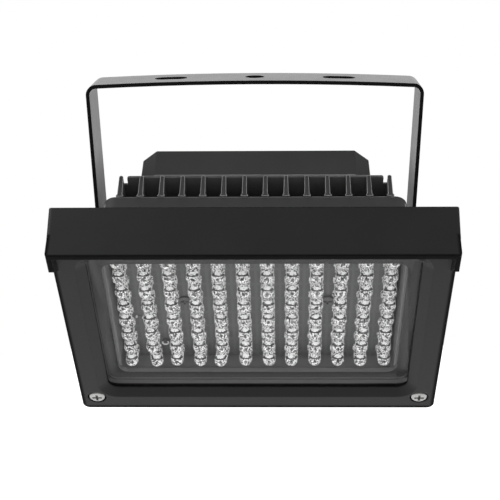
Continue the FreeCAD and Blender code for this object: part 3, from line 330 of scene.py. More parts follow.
class Shader:
    """A shader tree under construction."""

    def __init__(self, tree, output):
        self.tree = tree
        tree.nodes.clear()
        self.end = tree.nodes.new(output)

    def add(self, kind, settings=None, values=None, out=0):
        node = self.tree.nodes.new("ShaderNode" + kind)
        for name, item in (settings or {}).items():
            setattr(node, name, item)
        for name, item in (values or {}).items():
            feed(self.tree, node.inputs[name], item)
        return Wire(self.tree, node.outputs[out])

    def finish(self, shade, socket="Surface"):
        feed(self.tree, self.end.inputs[socket], shade)

    def object_place(self, turn=0.0, shift=(0, 0, 0)):
        """Object coordinates in metres, turned about X after a shift."""
        at = self.add("TexCoord", out="Object")
        if not turn and not any(shift):
            return at
        return self.add("Mapping", {"vector_type": "POINT"},
                        {"Vector": at, "Location": shift, "Rotation": (turn, 0, 0)})

    def head_place(self):
        """Object coordinates in the head's own axes, for pieces of the head."""
        return self.object_place(-HEAD_TILT, (
            0, PIVOT_BACK + PIVOT_REACH * math.sin(HEAD_TILT),
            PIVOT_UP + PIVOT_REACH * math.cos(HEAD_TILT)))

    def facing(self, direction):
        """How much a face of the head points along a direction of the head's axes."""
        turn = TO_ROW.to_3x3() @ Vector(direction).normalized()
        normal = self.add("TexCoord", out="Normal")
        return self.add("VectorMath", {"operation": "DOT_PRODUCT"}, {0: normal, 1: turn},
                        out="Value")

    def split(self, vector):
        node = self.add("SeparateXYZ", values={"Vector": vector}).socket.node
        return [Wire(self.tree, socket) for socket in node.outputs]

    def noise(self, at, scale, detail=3.0, roughness=0.5):
        return self.add("TexNoise", values={"Vector": at, "Scale": scale, "Detail": detail,
                                            "Roughness": roughness})

    def ramp(self, value, low, high, low_to=0.0, high_to=1.0):
        """A smooth step from low to high."""
        return self.add("MapRange", {"interpolation_type": "SMOOTHSTEP", "clamp": True},
                        {"Value": value, "From Min": low, "From Max": high,
                         "To Min": low_to, "To Max": high_to})

    def blend(self, share, first, second):
        """A colour between two, by a share from 0 to 1."""
        first, second = (rgba(item) for item in (first, second))
        return self.add("Mix", {"data_type": "RGBA"}, {0: share, 6: first, 7: second}, out=2)

    def bump(self, height, distance, strength=1.0, normal=None):
        return self.add("Bump", values={"Strength": strength, "Distance": distance,
                                        "Height": height, "Normal": normal})

    def soft_edge(self, radius):
        """The normal of edges that are rounded by a radius."""
        return self.add("Bevel", {"samples": 6}, {"Radius": radius})

    def edge_mask(self, rounded_normal):
        """One along sharp edges and nothing on flat faces."""
        flat = self.add("NewGeometry", out="Normal")
        turn = self.add("VectorMath", {"operation": "DOT_PRODUCT"},
                        {0: rounded_normal, 1: flat}, out="Value")
        return self.ramp(1 - turn, 0.015, 0.16)


def rgba(item):
    return item if isinstance(item, Wire) or len(item) == 4 else (*item, 1.0)


def grey(level):
    return (level, level, level)


def new_surface(name):
    material = bpy.data.materials.new(name)
    material.use_nodes = True
    return material, Shader(material.node_tree, "ShaderNodeOutputMaterial")


def coated_metal(name, colour, rim_light_colour, roughness, peel, edge_radius, zones=(), ior=1.5):
    """Paint on metal: a fine orange peel, uneven gloss, and rounded edges that carry painted rim
    light, a highlight where its colour is pale and shade where it is dark.
    Each zone is a mask, the grey level painted there and how much matter it is."""
    material, shader = new_surface(name)
    at = shader.object_place()
    fine = shader.noise(at, 1500.0, 2.0)
    broad = shader.noise(at, 55.0, 4.0, 0.6)
    speck = shader.noise(at, 420.0, 5.0, 0.7)
    soft = shader.soft_edge(edge_radius)
    painted_rim = shader.edge_mask(soft)
    tone = shader.blend(broad, [c * 0.85 for c in colour], [c * 1.18 for c in colour])
    # painted rim light along the rounded edges, in the rim's own colour
    tone = shader.blend(painted_rim * (0.55 + 0.45 * speck), tone, rim_light_colour)
    gloss = roughness + 0.08 * (broad - 0.5) + 0.10 * (speck - 0.5) - 0.06 * painted_rim
    for mask, level, matter in zones:
        share = mask(shader)
        tone = shader.blend(share, tone, grey(level))
        gloss = gloss + matter * share
    normal = shader.bump(fine, peel, 1.0, shader.bump(speck, peel * 0.7, 1.0, soft))
    shader.finish(shader.add("BsdfPrincipled", values={
        "Base Color": tone, "Roughness": gloss, "IOR": ior, "Normal": normal}))
    return material


def within(shader, side, low, high):
    """One inside an upright rectangle of the head, and the depth behind the frame's face."""
    across, deep, up = shader.split(shader.head_place())
    return across.size().below(side) * up.above(low) * up.below(high), deep


def chamber_walls(shader):
    """The housing's inside round the diodes."""
    inside, deep = within(shader, 54.7 * MM, 11.4 * MM, 90.6 * MM)
    return inside * deep.below(31 * MM)


def fin_gap_light(shader):
    """The walls between the fins, up to the plate behind them, made paler with painted light where
    the gaps lie in shade.
    """
    inside, deep = within(shader, 49.2 * MM, 10.0 * MM, 92.95 * MM)
    return inside * deep.above(FINS_FRONT - 0.1 * MM) * deep.below(PLATE_FRONT + 0.1 * MM)


def from_opening(shader):
    """How far a point lies outside the frame's opening, and its depth."""
    across, deep, up = shader.split(shader.head_place())
    right = across.size() - (WINDOW_HALF_WIDTH - WINDOW_CORNER)
    high = (up - WINDOW_MIDDLE_UP).size() - (WINDOW_HALF_HEIGHT - WINDOW_CORNER)
    outside = (right.most(0) ** 2 + high.most(0) ** 2) ** 0.5
    return outside + right.most(high).least(0) - WINDOW_CORNER, deep


def frame_rim_shade(shader):
    """The frame's outer rim, the visor's nose and the narrow wall round the glass, all darkened
    with painted shade.
    """
    across, deep, up = shader.split(shader.head_place())
    outer = shader.ramp(across.size(), 68.0 * MM, 69.4 * MM).most(
        shader.ramp(up, 0.8 * MM, 3.0 * MM, 1.0, 0.0))
    nose = shader.ramp(deep, -7.2 * MM, -6.2 * MM, 1.0, 0.0)
    away, _ = from_opening(shader)
    wall = away.below(0.3 * MM) * deep.above(2.5 * MM)
    return (deep.below(2 * MM) * outer).most(nose).most(wall)


def strip_front_shade(shader):
    """The strip's narrow side that faces the front, darkened with painted shade."""
    _, back, _ = shader.split(shader.add("NewGeometry", out="Normal"))
    return back.below(-0.6)


def strip_arm_shade(shader):
    """The wide faces of the strip's arms, darkened by painted shade that deepens, with a duller
    coat, towards their lower ends.
    """
    aside, _, _ = shader.split(shader.add("NewGeometry", out="Normal"))
    _, _, up = shader.split(shader.object_place())
    return aside.size().above(0.6) * shader.ramp(up, -45 * MM, -24 * MM, 0.75, 0.25)


def ring_with_painted_light(name, flat, outward, wall):
    """The ring behind the glass, with painted light: paler towards its rim, against the shade of
    the lip in front of it, and paler on its inner wall.
    """
    material, shader = new_surface(name)
    away, deep = from_opening(shader)
    fine = shader.noise(shader.object_place(), 1600.0, 3.0, 0.6)
    # painted light: paler towards the rim and on the inner wall
    tone = shader.blend(shader.ramp(away, -4.0 * MM, 0.0), grey(flat), grey(outward))
    tone = shader.blend(deep.above(RING_FRONT + 0.15 * MM), tone, grey(wall))
    shader.finish(shader.add("BsdfPrincipled", values={
        "Base Color": tone, "Roughness": 0.5 + 0.12 * (fine - 0.5),
        "Normal": shader.bump(fine, 0.00002)}))
    return material


def glass_rubber(name, colour):
    """The rubber round the glass: its face behind the glass paler than the strip of it that lines
    the gap, which is painted near black as shade.
    """
    material, shader = new_surface(name)
    away, deep = from_opening(shader)
    fine = shader.noise(shader.object_place(), 1900.0, 3.0, 0.6)
    # painted shade: the rubber along the gap in front of the glass is near black
    crevice_shade = away.above(2.2 * MM) * deep.below(5.4 * MM)
    crevice_shade = crevice_shade.most(deep.below(GLASS_FRONT + 0.1 * MM))
    shader.finish(shader.add("BsdfPrincipled", values={
        "Base Color": shader.blend(crevice_shade, grey(colour), grey(0.006)),
        "Roughness": 0.6 + 0.12 * (fine - 0.5), "Normal": shader.bump(fine, 0.00003)}))
    return material


def bare_metal(name, colour, roughness, lines, edge_radius):
    """Plated or plain metal with fine turning marks and small stains."""
    material, shader = new_surface(name)
    at = shader.object_place()
    marks = shader.noise(at, lines, 3.0, 0.6)
    stain = shader.noise(at, 260.0, 4.0, 0.6)
    soft = shader.soft_edge(edge_radius)
    tone = shader.blend(stain, [c * 0.72 for c in colour], [min(1, c * 1.12) for c in colour])
    normal = shader.bump(marks, 0.00002, 1.0, soft)
    shader.finish(shader.add("BsdfPrincipled", values={
        "Base Color": tone, "Metallic": 1.0, "Roughness": roughness + 0.22 * (stain - 0.5),
        "Normal": normal}))
    return material


def moulding(name, colour, roughness, grain, depth, edge_radius=0.0002, coat=0.0):
    """Plastic or rubber with a fine grain and uneven gloss."""
    material, shader = new_surface(name)
    at = shader.object_place()
    fine = shader.noise(at, grain, 3.0, 0.6)
    broad = shader.noise(at, 70.0, 3.0)
    soft = shader.soft_edge(edge_radius)
    tone = shader.blend(broad, [c * 0.8 for c in colour], [min(1, c * 1.2) for c in colour])
    normal = shader.bump(fine, depth, 1.0, soft)
    shader.finish(shader.add("BsdfPrincipled", values={
        "Base Color": tone, "Roughness": roughness + 0.12 * (fine - 0.5), "Coat Weight": coat,
        "Normal": normal}))
    return material


def circuit_mask(name, colour):
    """Solder mask with faint tracks under it that run between the rows and columns of diodes."""
    material, shader = new_surface(name)
    at = shader.object_place(-HEAD_TILT)
    across, _, up = shader.split(at)
    rows = shader.ramp((up - 0.2 * MM).wrap(DIODE_PITCH), 0.5 * MM, 0.9 * MM, 1.0, 0.0)
    strings = shader.ramp(across.wrap(DIODE_PITCH), 0.4 * MM, 0.7 * MM, 1.0, 0.0)
    track = rows.most(strings)
    weave = shader.noise(at, 2400.0, 2.0)
    broad = shader.noise(at, 90.0, 3.0)
    tone = shader.blend(broad, [c * 0.86 for c in colour], [c * 1.14 for c in colour])
    tone = shader.blend(track * 0.3, tone, [c * 1.6 for c in colour])
    normal = shader.bump(track, 0.00003, 1.0, shader.bump(weave, 0.00001))
    shader.finish(shader.add("BsdfPrincipled", values={
        "Base Color": tone, "Roughness": 0.42 + 0.16 * (broad - 0.5), "Normal": normal}))
    return material


def window_glass(name, shine):
    """A clear pane: nearly all see-through, with a little mirror on each face."""
    material, shader = new_surface(name)
    at = shader.object_place()
    smear = shader.noise(at, 38.0, 4.0, 0.6)
    shader.finish(shader.add("BsdfPrincipled", values={
        "Base Color": rgba(grey(0.9)), "Metallic": 1.0, "Roughness": 0.03 + 0.05 * smear,
        "Alpha": shine * (0.6 + 0.8 * smear)}))
    return material


def clear_resin(name, colour, cloud):
    """Cast clear resin, partly milky: bright and dark specks under a rippled skin, painted glints
    that glow, and on each dome a painted highlight above a painted dark curve, with a painted dark
    mark that stands in for the board seen through the dome."""
    material, shader = new_surface(name)
    at = shader.object_place()
    _, deep, _ = shader.split(shader.head_place())
    dome = deep.below(BOARD_FRONT - 5.5 * MM)
    height = (shader.facing((0, 0.79, 0.62)) - 0.5) * 5.5
    across = shader.facing((1, 0, 0)) * 1.7
    ring = height * height + across * across
    # painted shade: a dark curve under each dome's painted highlight, and a dark mark for the board
    # seen through it
    painted_arc = shader.ramp(ring, 1.1, 1.5) * shader.ramp(ring, 3.6, 5.6, 1.0, 0.0) * height.below(0.1)
    painted_spot = shader.ramp(shader.facing((0, -0.84, 0.54)), 0.95, 0.985)
    dark = painted_arc.most(painted_spot * 0.8) * dome
    ripple = shader.noise(at, 1100.0, 3.0, 0.6)
    speck = shader.ramp(shader.noise(at, 1600.0, 2.0, 0.6), 0.44, 0.51)
    painted_highlight = shader.ramp(ring, 0.2, 1.2, 1.0, 0.0) * dome * (0.6 + 0.4 * speck)
    patch = shader.noise(at, 420.0, 3.0, 0.6)
    normal = shader.bump(ripple, 0.00015)
    body = shader.add("BsdfPrincipled", values={
        "Base Color": rgba(colour), "Roughness": 0.02, "IOR": 1.5, "Transmission Weight": 1.0,
        "Normal": normal})
    tone = shader.blend(speck, grey(0.08), grey(1.0))
    tone = shader.blend(dark * 0.92, tone, grey(0.03))
    tone = shader.blend(painted_highlight * 0.8, tone, grey(1.0))
    # painted glints and the painted highlight also glow through the emission, though the diode is
    # unlit
    painted_glint = shader.ramp(shader.noise(at, 2100.0, 2.0, 0.6), 0.49, 0.56) * speck * (1 - dark)
    milk_and_painted_light = shader.add("BsdfPrincipled", values={
        "Base Color": tone, "Roughness": 0.08, "Normal": normal, "Emission Strength": 0.4,
        "Emission Color": shader.blend(painted_glint.most(painted_highlight), grey(0.0), grey(1.0))})
    share = shader.ramp(patch, 0.3, 0.7, cloud * 0.7, cloud * 1.3).most(painted_highlight)
    shader.finish(shader.add("MixShader", values={0: share, 1: body, 2: milk_and_painted_light}))
    return material


SURFACES = {}


def surface(slot):
    """The finish of a material slot."""
    return SURFACES[slot]


def make_surfaces(paint):
    """One finish for each material slot of the part."""
    frame_coat, housing_coat, strip_coat, resin = (list(colour) for colour in (
        paint.coat_colour, paint.housing_colour, paint.strip_colour, paint.resin_colour))
    SURFACES.update({
        # frame: painted rim shade, and painted shade on its rims, visor nose and glass wall
        "frame_paint": coated_metal("powder_coat_frame", frame_coat, grey(0.006),
                                    paint.coat_roughness, 0.00003, 0.9 * MM,
                                    [(frame_rim_shade, 0.001, 0.6)], 1.4),
        # housing: painted rim highlights on the fins and painted light in the fin gaps; the
        # chamber's paler grey is its inside finish
        "housing_paint": coated_metal("powder_coat_housing", housing_coat, grey(0.8),
                                      paint.housing_roughness, 0.00004, 0.5 * MM,
                                      [(chamber_walls, 0.22, 0.0), (fin_gap_light, 0.13, 0.0)]),
        # strip: painted shade on its front-facing side and on its arms
        "strip_paint": coated_metal("gloss_coat_strip", strip_coat, grey(0.02),
                                    paint.strip_roughness, 0.000012, 0.4 * MM,
                                    [(strip_front_shade, 0.001, 0.6), (strip_arm_shade, 0.004, 0.34)]),
        "clear_glass": window_glass("toughened_glass", 0.016),
        # the diodes carry painted highlights, painted shade and a painted glow
        "clear_resin": clear_resin("diode_resin", resin, paint.resin_cloud),
        # the ring's paleness towards its rim and on its wall is painted light
        "mask_black": ring_with_painted_light("mask_plastic", 0.05, 0.13, 0.18),
        "board_mask": circuit_mask("solder_mask", (0.128, 0.13, 0.13)),
        "sensor_dark": moulding("smoked_resin", grey(0.13), 0.12, 900.0, 0.00001, coat=0.6),
        "bright_steel": bare_metal("zinc_plated_steel", (0.72, 0.72, 0.71), 0.3, 1800.0, 0.2 * MM),
        "black_screw": moulding("painted_steel", grey(0.14), 0.5, 1500.0, 0.00001, 0.1 * MM),
        # the seal's near-black strip along the gap is painted shade
        "window_seal": glass_rubber("window_seal_rubber", 0.26),
        "seal_rubber": moulding("seal_rubber", grey(0.018), 0.66, 1900.0, 0.00004),
        "gland_plastic": moulding("gland_nylon", grey(0.02), 0.48, 1500.0, 0.00003, 0.3 * MM),
        "part_dark": moulding("component_moulding", grey(0.05), 0.5, 1700.0, 0.00002),
        "can_metal": bare_metal("capacitor_can", (0.75, 0.75, 0.76), 0.32, 900.0, 0.2 * MM),
        "copper_coil": bare_metal("enamelled_copper", (0.62, 0.28, 0.14), 0.3, 2200.0, 0.1 * MM),
        "terminal_green": moulding("terminal_moulding", (0.04, 0.22, 0.1), 0.5, 1600.0, 0.00002),
        "lead_cover": moulding("lead_insulation", (0.32, 0.03, 0.03), 0.5, 1700.0, 0.00002),
        "tinned": moulding("tinned_metal", grey(0.8), 0.3, 1400.0, 0.00001, 0.05 * MM),
        "lead_frame": bare_metal("silvered_lead_frame", (0.92, 0.92, 0.9), 0.18, 1400.0, 0.05 * MM),
    })


# Settings


class FinishSettings(bpy.types.PropertyGroup):
    coat_colour: bpy.props.FloatVectorProperty(
        name="Frame coat", description="Colour of the front frame", subtype="COLOR",
        size=3, default=(0.0118, 0.0118, 0.0121), min=0, max=1)
    coat_roughness: bpy.props.FloatProperty(
        name="Frame roughness", description="Roughness of the front frame's coat",
        default=0.33, min=0.05, max=1)
    housing_colour: bpy.props.FloatVectorProperty(
        name="Housing coat", description="Colour of the housing and the driver box",
        subtype="COLOR", size=3, default=(0.043, 0.043, 0.0435), min=0, max=1)
    housing_roughness: bpy.props.FloatProperty(
        name="Housing roughness", description="Roughness of the housing's coat",
        default=0.56, min=0.05, max=1)
    strip_colour: bpy.props.FloatVectorProperty(
        name="Bracket paint", description="Colour of the folded strip", subtype="COLOR",
        size=3, default=(0.016, 0.016, 0.0165), min=0, max=1)
    strip_roughness: bpy.props.FloatProperty(
        name="Bracket roughness", description="Roughness of the folded strip's paint",
        default=0.26, min=0.05, max=1)
    resin_colour: bpy.props.FloatVectorProperty(
        name="Resin", description="Colour of the diodes' clear resin", subtype="COLOR",
        size=3, default=(0.97, 0.97, 0.97), min=0, max=1)
    resin_cloud: bpy.props.FloatProperty(
        name="Resin cloud", description="Share of the resin that looks milky",
        default=0.92, min=0, max=1)


class DiodeSettings(bpy.types.PropertyGroup):
    columns: bpy.props.IntProperty(
        name="Columns", description="Strings of diodes side by side", default=12, min=1)
    rows: bpy.props.IntProperty(
        name="Rows", description="Diodes in each string", default=8, min=1)
    pitch: bpy.props.FloatProperty(
        name="Pitch", description="Distance between neighbours", default=DIODE_PITCH,
        unit="LENGTH", min=0.001)
    body_radius: bpy.props.FloatProperty(
        name="Body radius", description="Radius of the diode's round body", default=2.5 * MM,
        unit="LENGTH", min=0.0005)
    flange_radius: bpy.props.FloatProperty(
        name="Flange radius", description="Radius of the flange at its foot", default=2.9 * MM,
        unit="LENGTH", min=0.0005)
    length: bpy.props.FloatProperty(
        name="Length", description="From the board to the tip of the dome", default=8.6 * MM,
        unit="LENGTH", min=0.002)
    wobble: bpy.props.FloatProperty(
        name="Wobble", description="How far an ordinary diode leans",
        default=math.radians(1.4), subtype="ANGLE")
    bend: bpy.props.FloatProperty(
        name="Bend", description="How far the two bent diodes lean",
        default=math.radians(9), subtype="ANGLE")


class GlandSettings(bpy.types.PropertyGroup):
    ribs: bpy.props.IntProperty(
        name="Ribs", description="Grip ribs round the cap", default=12, min=3)
    cap_radius: bpy.props.FloatProperty(
        name="Cap radius", description="Radius over the ribs", default=6.9 * MM,
        unit="LENGTH", min=0.001)
    bore: bpy.props.FloatProperty(
        name="Mouth", description="Radius of the mouth for the cable", default=3.2 * MM,
        unit="LENGTH", min=0.0005)


class StageSettings(bpy.types.PropertyGroup):
    lens: bpy.props.FloatProperty(
        name="Lens", description="Focal length of the camera, in millimetres",
        default=96.55, min=10)
    floor_drop: bpy.props.FloatProperty(
        name="Floor drop", description="How far the floor lies below the bracket",
        default=0.42, unit="LENGTH", min=0.15)
    key_power: bpy.props.FloatProperty(
        name="Key light", description="Power of the large soft light", default=1.6, min=0)
    room_level: bpy.props.FloatProperty(
        name="Room light", description="Level of the light from all sides",
        default=1.0, min=0)


# Operators


def lean_of(settings, column, row):
    """How far a diode leans to the right and down: a little by a formula, two of them plainly."""
    if row == 0 and column in (1, 4):
        return (settings.bend if column == 1 else -settings.bend), 0.0
    return (settings.wobble * math.sin(2.4 * column + 1.7 * row),
            settings.wobble * math.cos(1.9 * column + 3.1 * row))


def diode_place(settings, column, row):
    """The matrix from a diode's own axis, along Z from the board, to the row frame."""
    right, down = lean_of(settings, column, row)
    lift = settings.flange_radius * math.sin(math.hypot(right, down))
    x = settings.pitch * (column - (settings.columns - 1) / 2)
    z = DIODE_LOW + settings.pitch * row
    return (TO_ROW @ Matrix.Translation((x, BOARD_FRONT - lift, z))
            @ Matrix.Rotation(down, 4, "X") @ Matrix.Rotation(right, 4, "Z")
            @ Matrix.Rotation(math.pi / 2, 4, "X"))


def make_diode_body(settings):
    """The clear casting: a flange with one flat, a round body and a dome."""
    flange = 1.0 * MM
    radius = settings.body_radius
    shoulder = settings.length - radius
    profile = [(settings.flange_radius, 0), (settings.flange_radius, flange),
               (radius * 1.001, flange), (radius, shoulder)]
    for step in (18, 36, 54, 72):
        turn = math.radians(step)
        profile.append((radius * math.cos(turn), shoulder + radius * math.sin(turn)))
    profile.append((0, settings.length))
    body = turned("diode_body", profile, 20)
    pick_all(body)
    bpy.ops.mesh.bisect(plane_co=(radius + 0.05 * MM, 0, 0), plane_no=(1, 0, 0),
                        clear_outer=True, use_fill=True)
    done()
    return smooth(outward(body), 40)


def make_lead_frame():
    """The two silvered posts in a diode, one with the cup that holds the chip."""
    cup = turned("diode_cup", [(0.55 * MM, 2.6 * MM), (0.7 * MM, 3.2 * MM), (1.15 * MM, 4.5 * MM),
                               (0.95 * MM, 4.51 * MM), (0.45 * MM, 3.8 * MM)], 12)
    chip = box("diode_chip", (-0.17 * MM, -0.17 * MM, 3.78 * MM),
               (0.17 * MM, 0.17 * MM, 4.0 * MM))
    rounded(chip, 0.02 * MM, 1)
    near_post = box("diode_post", (-0.3 * MM, -0.25 * MM, 0.1 * MM),
                    (0.3 * MM, 0.25 * MM, 3.0 * MM))
    far_post = box("diode_anvil", (1.35 * MM, -0.25 * MM, 0.1 * MM),
                   (1.85 * MM, 0.25 * MM, 4.3 * MM))
    pick_faces(far_post, lambda at, normal: normal.z > 0.9)
    bpy.ops.mesh.extrude_region_move(
        TRANSFORM_OT_translate={"value": (-0.25 * MM, 0, 0.35 * MM)})
    bpy.ops.transform.resize(value=(0.6, 0.8, 1))
    done()
    for post in (near_post, far_post):
        rounded(post, 0.06 * MM, 1)
    return smooth(joined([cup, chip, near_post, far_post], "diode_lead_frame"), 35)


class ILLUMINATOR_OT_finishes(bpy.types.Operator):
    """Mix the finishes and give each solid of the part its own"""

    bl_idname = "illuminator.finishes"
    bl_label = "Finishes"

    def execute(self, context):
        make_surfaces(context.scene.illuminator_finish)
        slots = {item["node"]: item["material_slot"] for item in frame["record"]["subparts"]}
        for name, node in frame["nodes"].items():
            node.data.materials.clear()
            node.data.materials.append(surface(slots[name]))
        return {"FINISHED"}


class ILLUMINATOR_OT_diodes(bpy.types.Operator):
    """Cast one diode and set it on the board in strings"""

    bl_idname = "illuminator.diodes"
    bl_label = "Diodes"

    def execute(self, context):
        settings = context.scene.illuminator_diodes
        body = make_diode_body(settings)
        leads = make_lead_frame()
        for column in range(settings.columns):
            label = f"{column + 1:02d}"
            bodies, frames = [], []
            for row in range(settings.rows):
                place = diode_place(settings, column, row)
                bodies.append(lay(copy_of(body, f"body_{label}_{row}"), place))
                frames.append(lay(copy_of(leads, f"leads_{label}_{row}"), place))
            string = joined(bodies, f"diode_string_{label}")
            finish_piece(string, HEAD, surface("clear_resin"),
                         [f"led_column_{label}"])
            inner = joined(frames, f"diode_leads_{label}")
            finish_piece(inner, HEAD, surface("lead_frame"))
        for pattern in (body, leads):
            bpy.data.objects.remove(pattern)
        return {"FINISHED"}


class ILLUMINATOR_OT_board_parts(bpy.types.Operator):
    """Set the small parts between the diodes on the board"""

    bl_idname = "illuminator.board_parts"
    bl_label = "Board parts"

    def execute(self, context):
        place = (TO_ROW @ Matrix.Translation(CHIP_AT)
                 @ Matrix.Rotation(math.pi / 2, 4, "X") @ Matrix.Rotation(CHIP_TURN, 4, "Z"))
        core = box("chip_core", (-1.0 * MM, -0.5 * MM, 0), (1.0 * MM, 0.5 * MM, 0.5 * MM))
        rounded(core, 0.06 * MM, 2)
        finish_piece(smooth(lay(core, place)), HEAD, surface("sensor_dark"))
        ends = []
        for side in (-1, 1):
            low, high = sorted((side * 0.9 * MM, side * 1.6 * MM))
            end = box("chip_end", (low, -0.7 * MM, 0), (high, 0.7 * MM, 0.7 * MM))
            pick_faces(end, lambda at, normal: normal.x * side > 0.9)
            bpy.ops.transform.resize(value=(1, 1, 0.6))
            done()
            ends.append(lay(rounded(end, 0.1 * MM, 2), place))
        finish_piece(smooth(joined(ends, "chip_ends")), HEAD, surface("tinned"))
        self.bend_lead()
        return {"FINISHED"}

    def bend_lead(self):
        """A bright loop of a diode's lead that shows beside the light sensor."""
        deselect()
        bpy.ops.mesh.primitive_torus_add(major_radius=1.15 * MM, minor_radius=0.3 * MM,
                                         major_segments=40, minor_segments=12)
        loop = started("lead_loop")
        pick_all(loop)
        bpy.ops.mesh.bisect(plane_co=(0, 0.5 * MM, 0), plane_no=(0, 1, 0),
                            clear_outer=True, use_fill=True)
        done()
        place = TO_ROW @ Matrix.Translation(LOOP_AT) @ Matrix.Rotation(math.pi / 2, 4, "X")
        finish_piece(smooth(lay(loop, place)), HEAD, surface("tinned"))


class ILLUMINATOR_OT_gland_cap(bpy.types.Operator):
    """Turn the gland's cap with its grip ribs and domed mouth"""

    bl_idname = "illuminator.gland_cap"
    bl_label = "Gland cap"

    def execute(self, context):
        settings = context.scene.illuminator_gland
        length = GLAND_BACK - GLAND_FRONT
        outer = settings.cap_radius
        core = outer - 0.55 * MM
        profile = [(core - 0.3 * MM, 0), (core, 0.4 * MM), (core, length - 2.6 * MM),
                   (core - 0.45 * MM, length - 1.4 * MM), (core - 1.3 * MM, length - 0.4 * MM),
                   (core - 2.1 * MM, length), (settings.bore, length),
                   (settings.bore, length - 1.9 * MM), (5.1 * MM, length - 1.95 * MM),
                   (5.1 * MM, 0.02 * MM)]
        cap = turned("gland_cap_core", profile, 48)
        ribs = []
        for index in range(settings.ribs):
            rib = box("gland_rib", (core - 0.3 * MM, -0.62 * MM, 0.35 * MM),
                      (outer, 0.62 * MM, length - 2.4 * MM))
            pick_faces(rib, lambda at, normal: normal.z > 0.9)
            bpy.ops.mesh.extrude_region_move(
                TRANSFORM_OT_translate={"value": (-0.45 * MM, 0, 0.9 * MM)})
            bpy.ops.transform.resize(value=(0.5, 0.8, 1))
            done()
            rounded(rib, 0.22 * MM, 2)
            ribs.append(lay(rib, Matrix.Rotation(2 * math.pi * index / settings.ribs, 4, "Z")))
        cap = smooth(joined([cap, *ribs], "ribbed_gland_cap"), 35)
        place = (TO_ROW @ Matrix.Translation((0, GLAND_FRONT, GLAND_UP))
                 @ Matrix.Rotation(-math.pi / 2, 4, "X"))
        lay(cap, place)
        finish_piece(cap, HEAD, surface("gland_plastic"), ["gland_cap"])
        return {"FINISHED"}


def aim(eye, elevation, yaw, roll):
    """The camera's matrix from its place and its three angles."""
    forward = Vector((0, math.cos(elevation), -math.sin(elevation)))
    up = Vector((0, math.sin(elevation), math.cos(elevation)))
    right = Vector((1, 0, 0))
    ahead = math.cos(yaw) * forward + math.sin(yaw) * right
    side = math.cos(yaw) * right - math.sin(yaw) * forward
    across = math.cos(roll) * side + math.sin(roll) * up
    over = -math.sin(roll) * side + math.cos(roll) * up
    columns = (across, over, -ahead)
    turn = Matrix([[axis[row] for axis in columns] for row in range(3)]).to_4x4()
    return Matrix.Translation(eye) @ turn


def soft_light(name, power, size, place, target):
    """A large soft lamp that faces a point."""
    deselect()
    bpy.ops.object.light_add(type="AREA", location=place)
    lamp = bpy.context.active_object
    lamp.name = name
    lamp.data.energy = power
    lamp.data.shape = "DISK"
    lamp.data.size = size
    lamp.rotation_euler = (Vector(target) - Vector(place)).to_track_quat("-Z", "Y").to_euler()
    return lamp


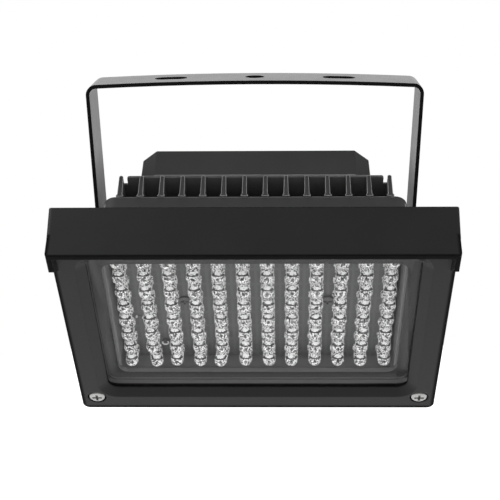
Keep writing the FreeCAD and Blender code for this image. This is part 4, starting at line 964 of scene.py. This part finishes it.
class ILLUMINATOR_OT_stage(bpy.types.Operator):
    """Lay the floor, light the room and place the camera"""

    bl_idname = "illuminator.stage"
    bl_label = "Stage"

    def execute(self, context):
        settings = context.scene.illuminator_stage
        self.lay_floor(settings)
        self.light_room(context, settings)
        soft_light("key_light", settings.key_power, KEY_SIZE, KEY_AT, KEY_TARGET)
        self.place_camera(context, settings)
        return {"FINISHED"}

    def lay_floor(self, settings):
        deselect()
        bpy.ops.mesh.primitive_circle_add(
            vertices=96, radius=FLOOR_RADIUS, fill_type="NGON",
            location=(0, FLOOR_MIDDLE_BACK, -settings.floor_drop))
        floor = started("studio_floor")
        bpy.ops.object.transform_apply(location=True, rotation=True, scale=True)
        material, shader = new_surface("pale_floor")
        at = shader.object_place()
        patch = shader.noise(at, 1.2, 2.0)
        matt = shader.add("BsdfDiffuse", values={
            "Color": shader.blend(patch, grey(0.68), grey(0.72))})
        seen = shader.add("LightPath", out="Is Camera Ray")
        glow = shader.add("Emission", values={"Color": (1, 1, 1, 1), "Strength": FLOOR_GLOW})
        both = shader.add("AddShader", values={0: matt, 1: glow})
        shader.finish(shader.add("MixShader", values={0: seen, 1: matt, 2: both}))
        floor.data.materials.append(material)

    def light_room(self, context, settings):
        """White for the camera; in reflections white behind, and dim elsewhere."""
        world = bpy.data.worlds.new("studio_room")
        world.use_nodes = True
        context.scene.world = world
        shader = Shader(world.node_tree, "ShaderNodeOutputWorld")
        ray = shader.add("TexCoord", out="Generated")
        across, back, up = shader.split(ray)
        towards_eye = -0.94 * back - 0.34 * up
        dim = shader.ramp(towards_eye, 0.2, 0.7)
        above = shader.ramp(up, 0.35, 0.9)
        beside = shader.ramp(across.size(), 0.5, 0.85)
        mirrored = (1 - 0.9 * dim) * (1 - 0.68 * above) * (1 - 0.85 * beside)
        paths = shader.add("LightPath").socket.node
        camera, glossy, transmitted = (Wire(shader.tree, paths.outputs[name]) for name in (
            "Is Camera Ray", "Is Glossy Ray", "Is Transmission Ray"))
        level = settings.room_level * (1 - camera) * (1 - glossy) * (1 - transmitted)
        level = level + camera + mirrored * (glossy + transmitted).least(1)
        shader.finish(shader.add("Background", values={"Color": (1, 1, 1, 1), "Strength": level}))

    def place_camera(self, context, settings):
        deselect()
        bpy.ops.object.camera_add()
        eye = bpy.context.active_object
        eye.name = "photo_camera"
        eye.data.lens = settings.lens
        eye.data.sensor_width = 36
        eye.data.clip_start = 0.01
        eye.data.clip_end = 100
        turn = aim((0, 0, 0), *CAMERA_ANGLES)
        ahead = -turn.to_3x3().col[2]
        eye.matrix_world = aim(CAMERA_TARGET - CAMERA_DISTANCE * ahead, *CAMERA_ANGLES)
        context.scene.camera = eye


class VIEW3D_PT_illuminator(bpy.types.Panel):
    """The illuminator's pieces and settings"""

    bl_label = "Illuminator"
    bl_space_type = "VIEW_3D"
    bl_region_type = "UI"
    bl_category = "Illuminator"

    def draw(self, context):
        layout = self.layout
        for operator, owner in STEPS:
            box_layout = layout.box()
            box_layout.operator(operator.bl_idname)
            group = getattr(context.scene, owner, None) if owner else None
            if group:
                for name in group.__annotations__:
                    box_layout.prop(group, name)


STEPS = [
    (ILLUMINATOR_OT_finishes, "illuminator_finish"),
    (ILLUMINATOR_OT_diodes, "illuminator_diodes"),
    (ILLUMINATOR_OT_board_parts, None),
    (ILLUMINATOR_OT_gland_cap, "illuminator_gland"),
    (ILLUMINATOR_OT_stage, "illuminator_stage"),
]
GROUPS = {
    "illuminator_finish": FinishSettings,
    "illuminator_diodes": DiodeSettings,
    "illuminator_gland": GlandSettings,
    "illuminator_stage": StageSettings,
}
CLASSES = [*GROUPS.values(), *(operator for operator, _ in STEPS), VIEW3D_PT_illuminator]


def register():
    for item in CLASSES:
        bpy.utils.register_class(item)
    for name, group in GROUPS.items():
        setattr(bpy.types.Scene, name, bpy.props.PointerProperty(type=group))


def unregister():
    for name in GROUPS:
        delattr(bpy.types.Scene, name)
    for item in reversed(CLASSES):
        bpy.utils.unregister_class(item)


def main():
    register()
    context = bpy.context
    context.scene.view_settings.view_transform = "Standard"
    for operator, _ in STEPS:
        folder, name = operator.bl_idname.split(".")
        getattr(getattr(bpy.ops, folder), name)()


if __name__ == "__main__":
    main()
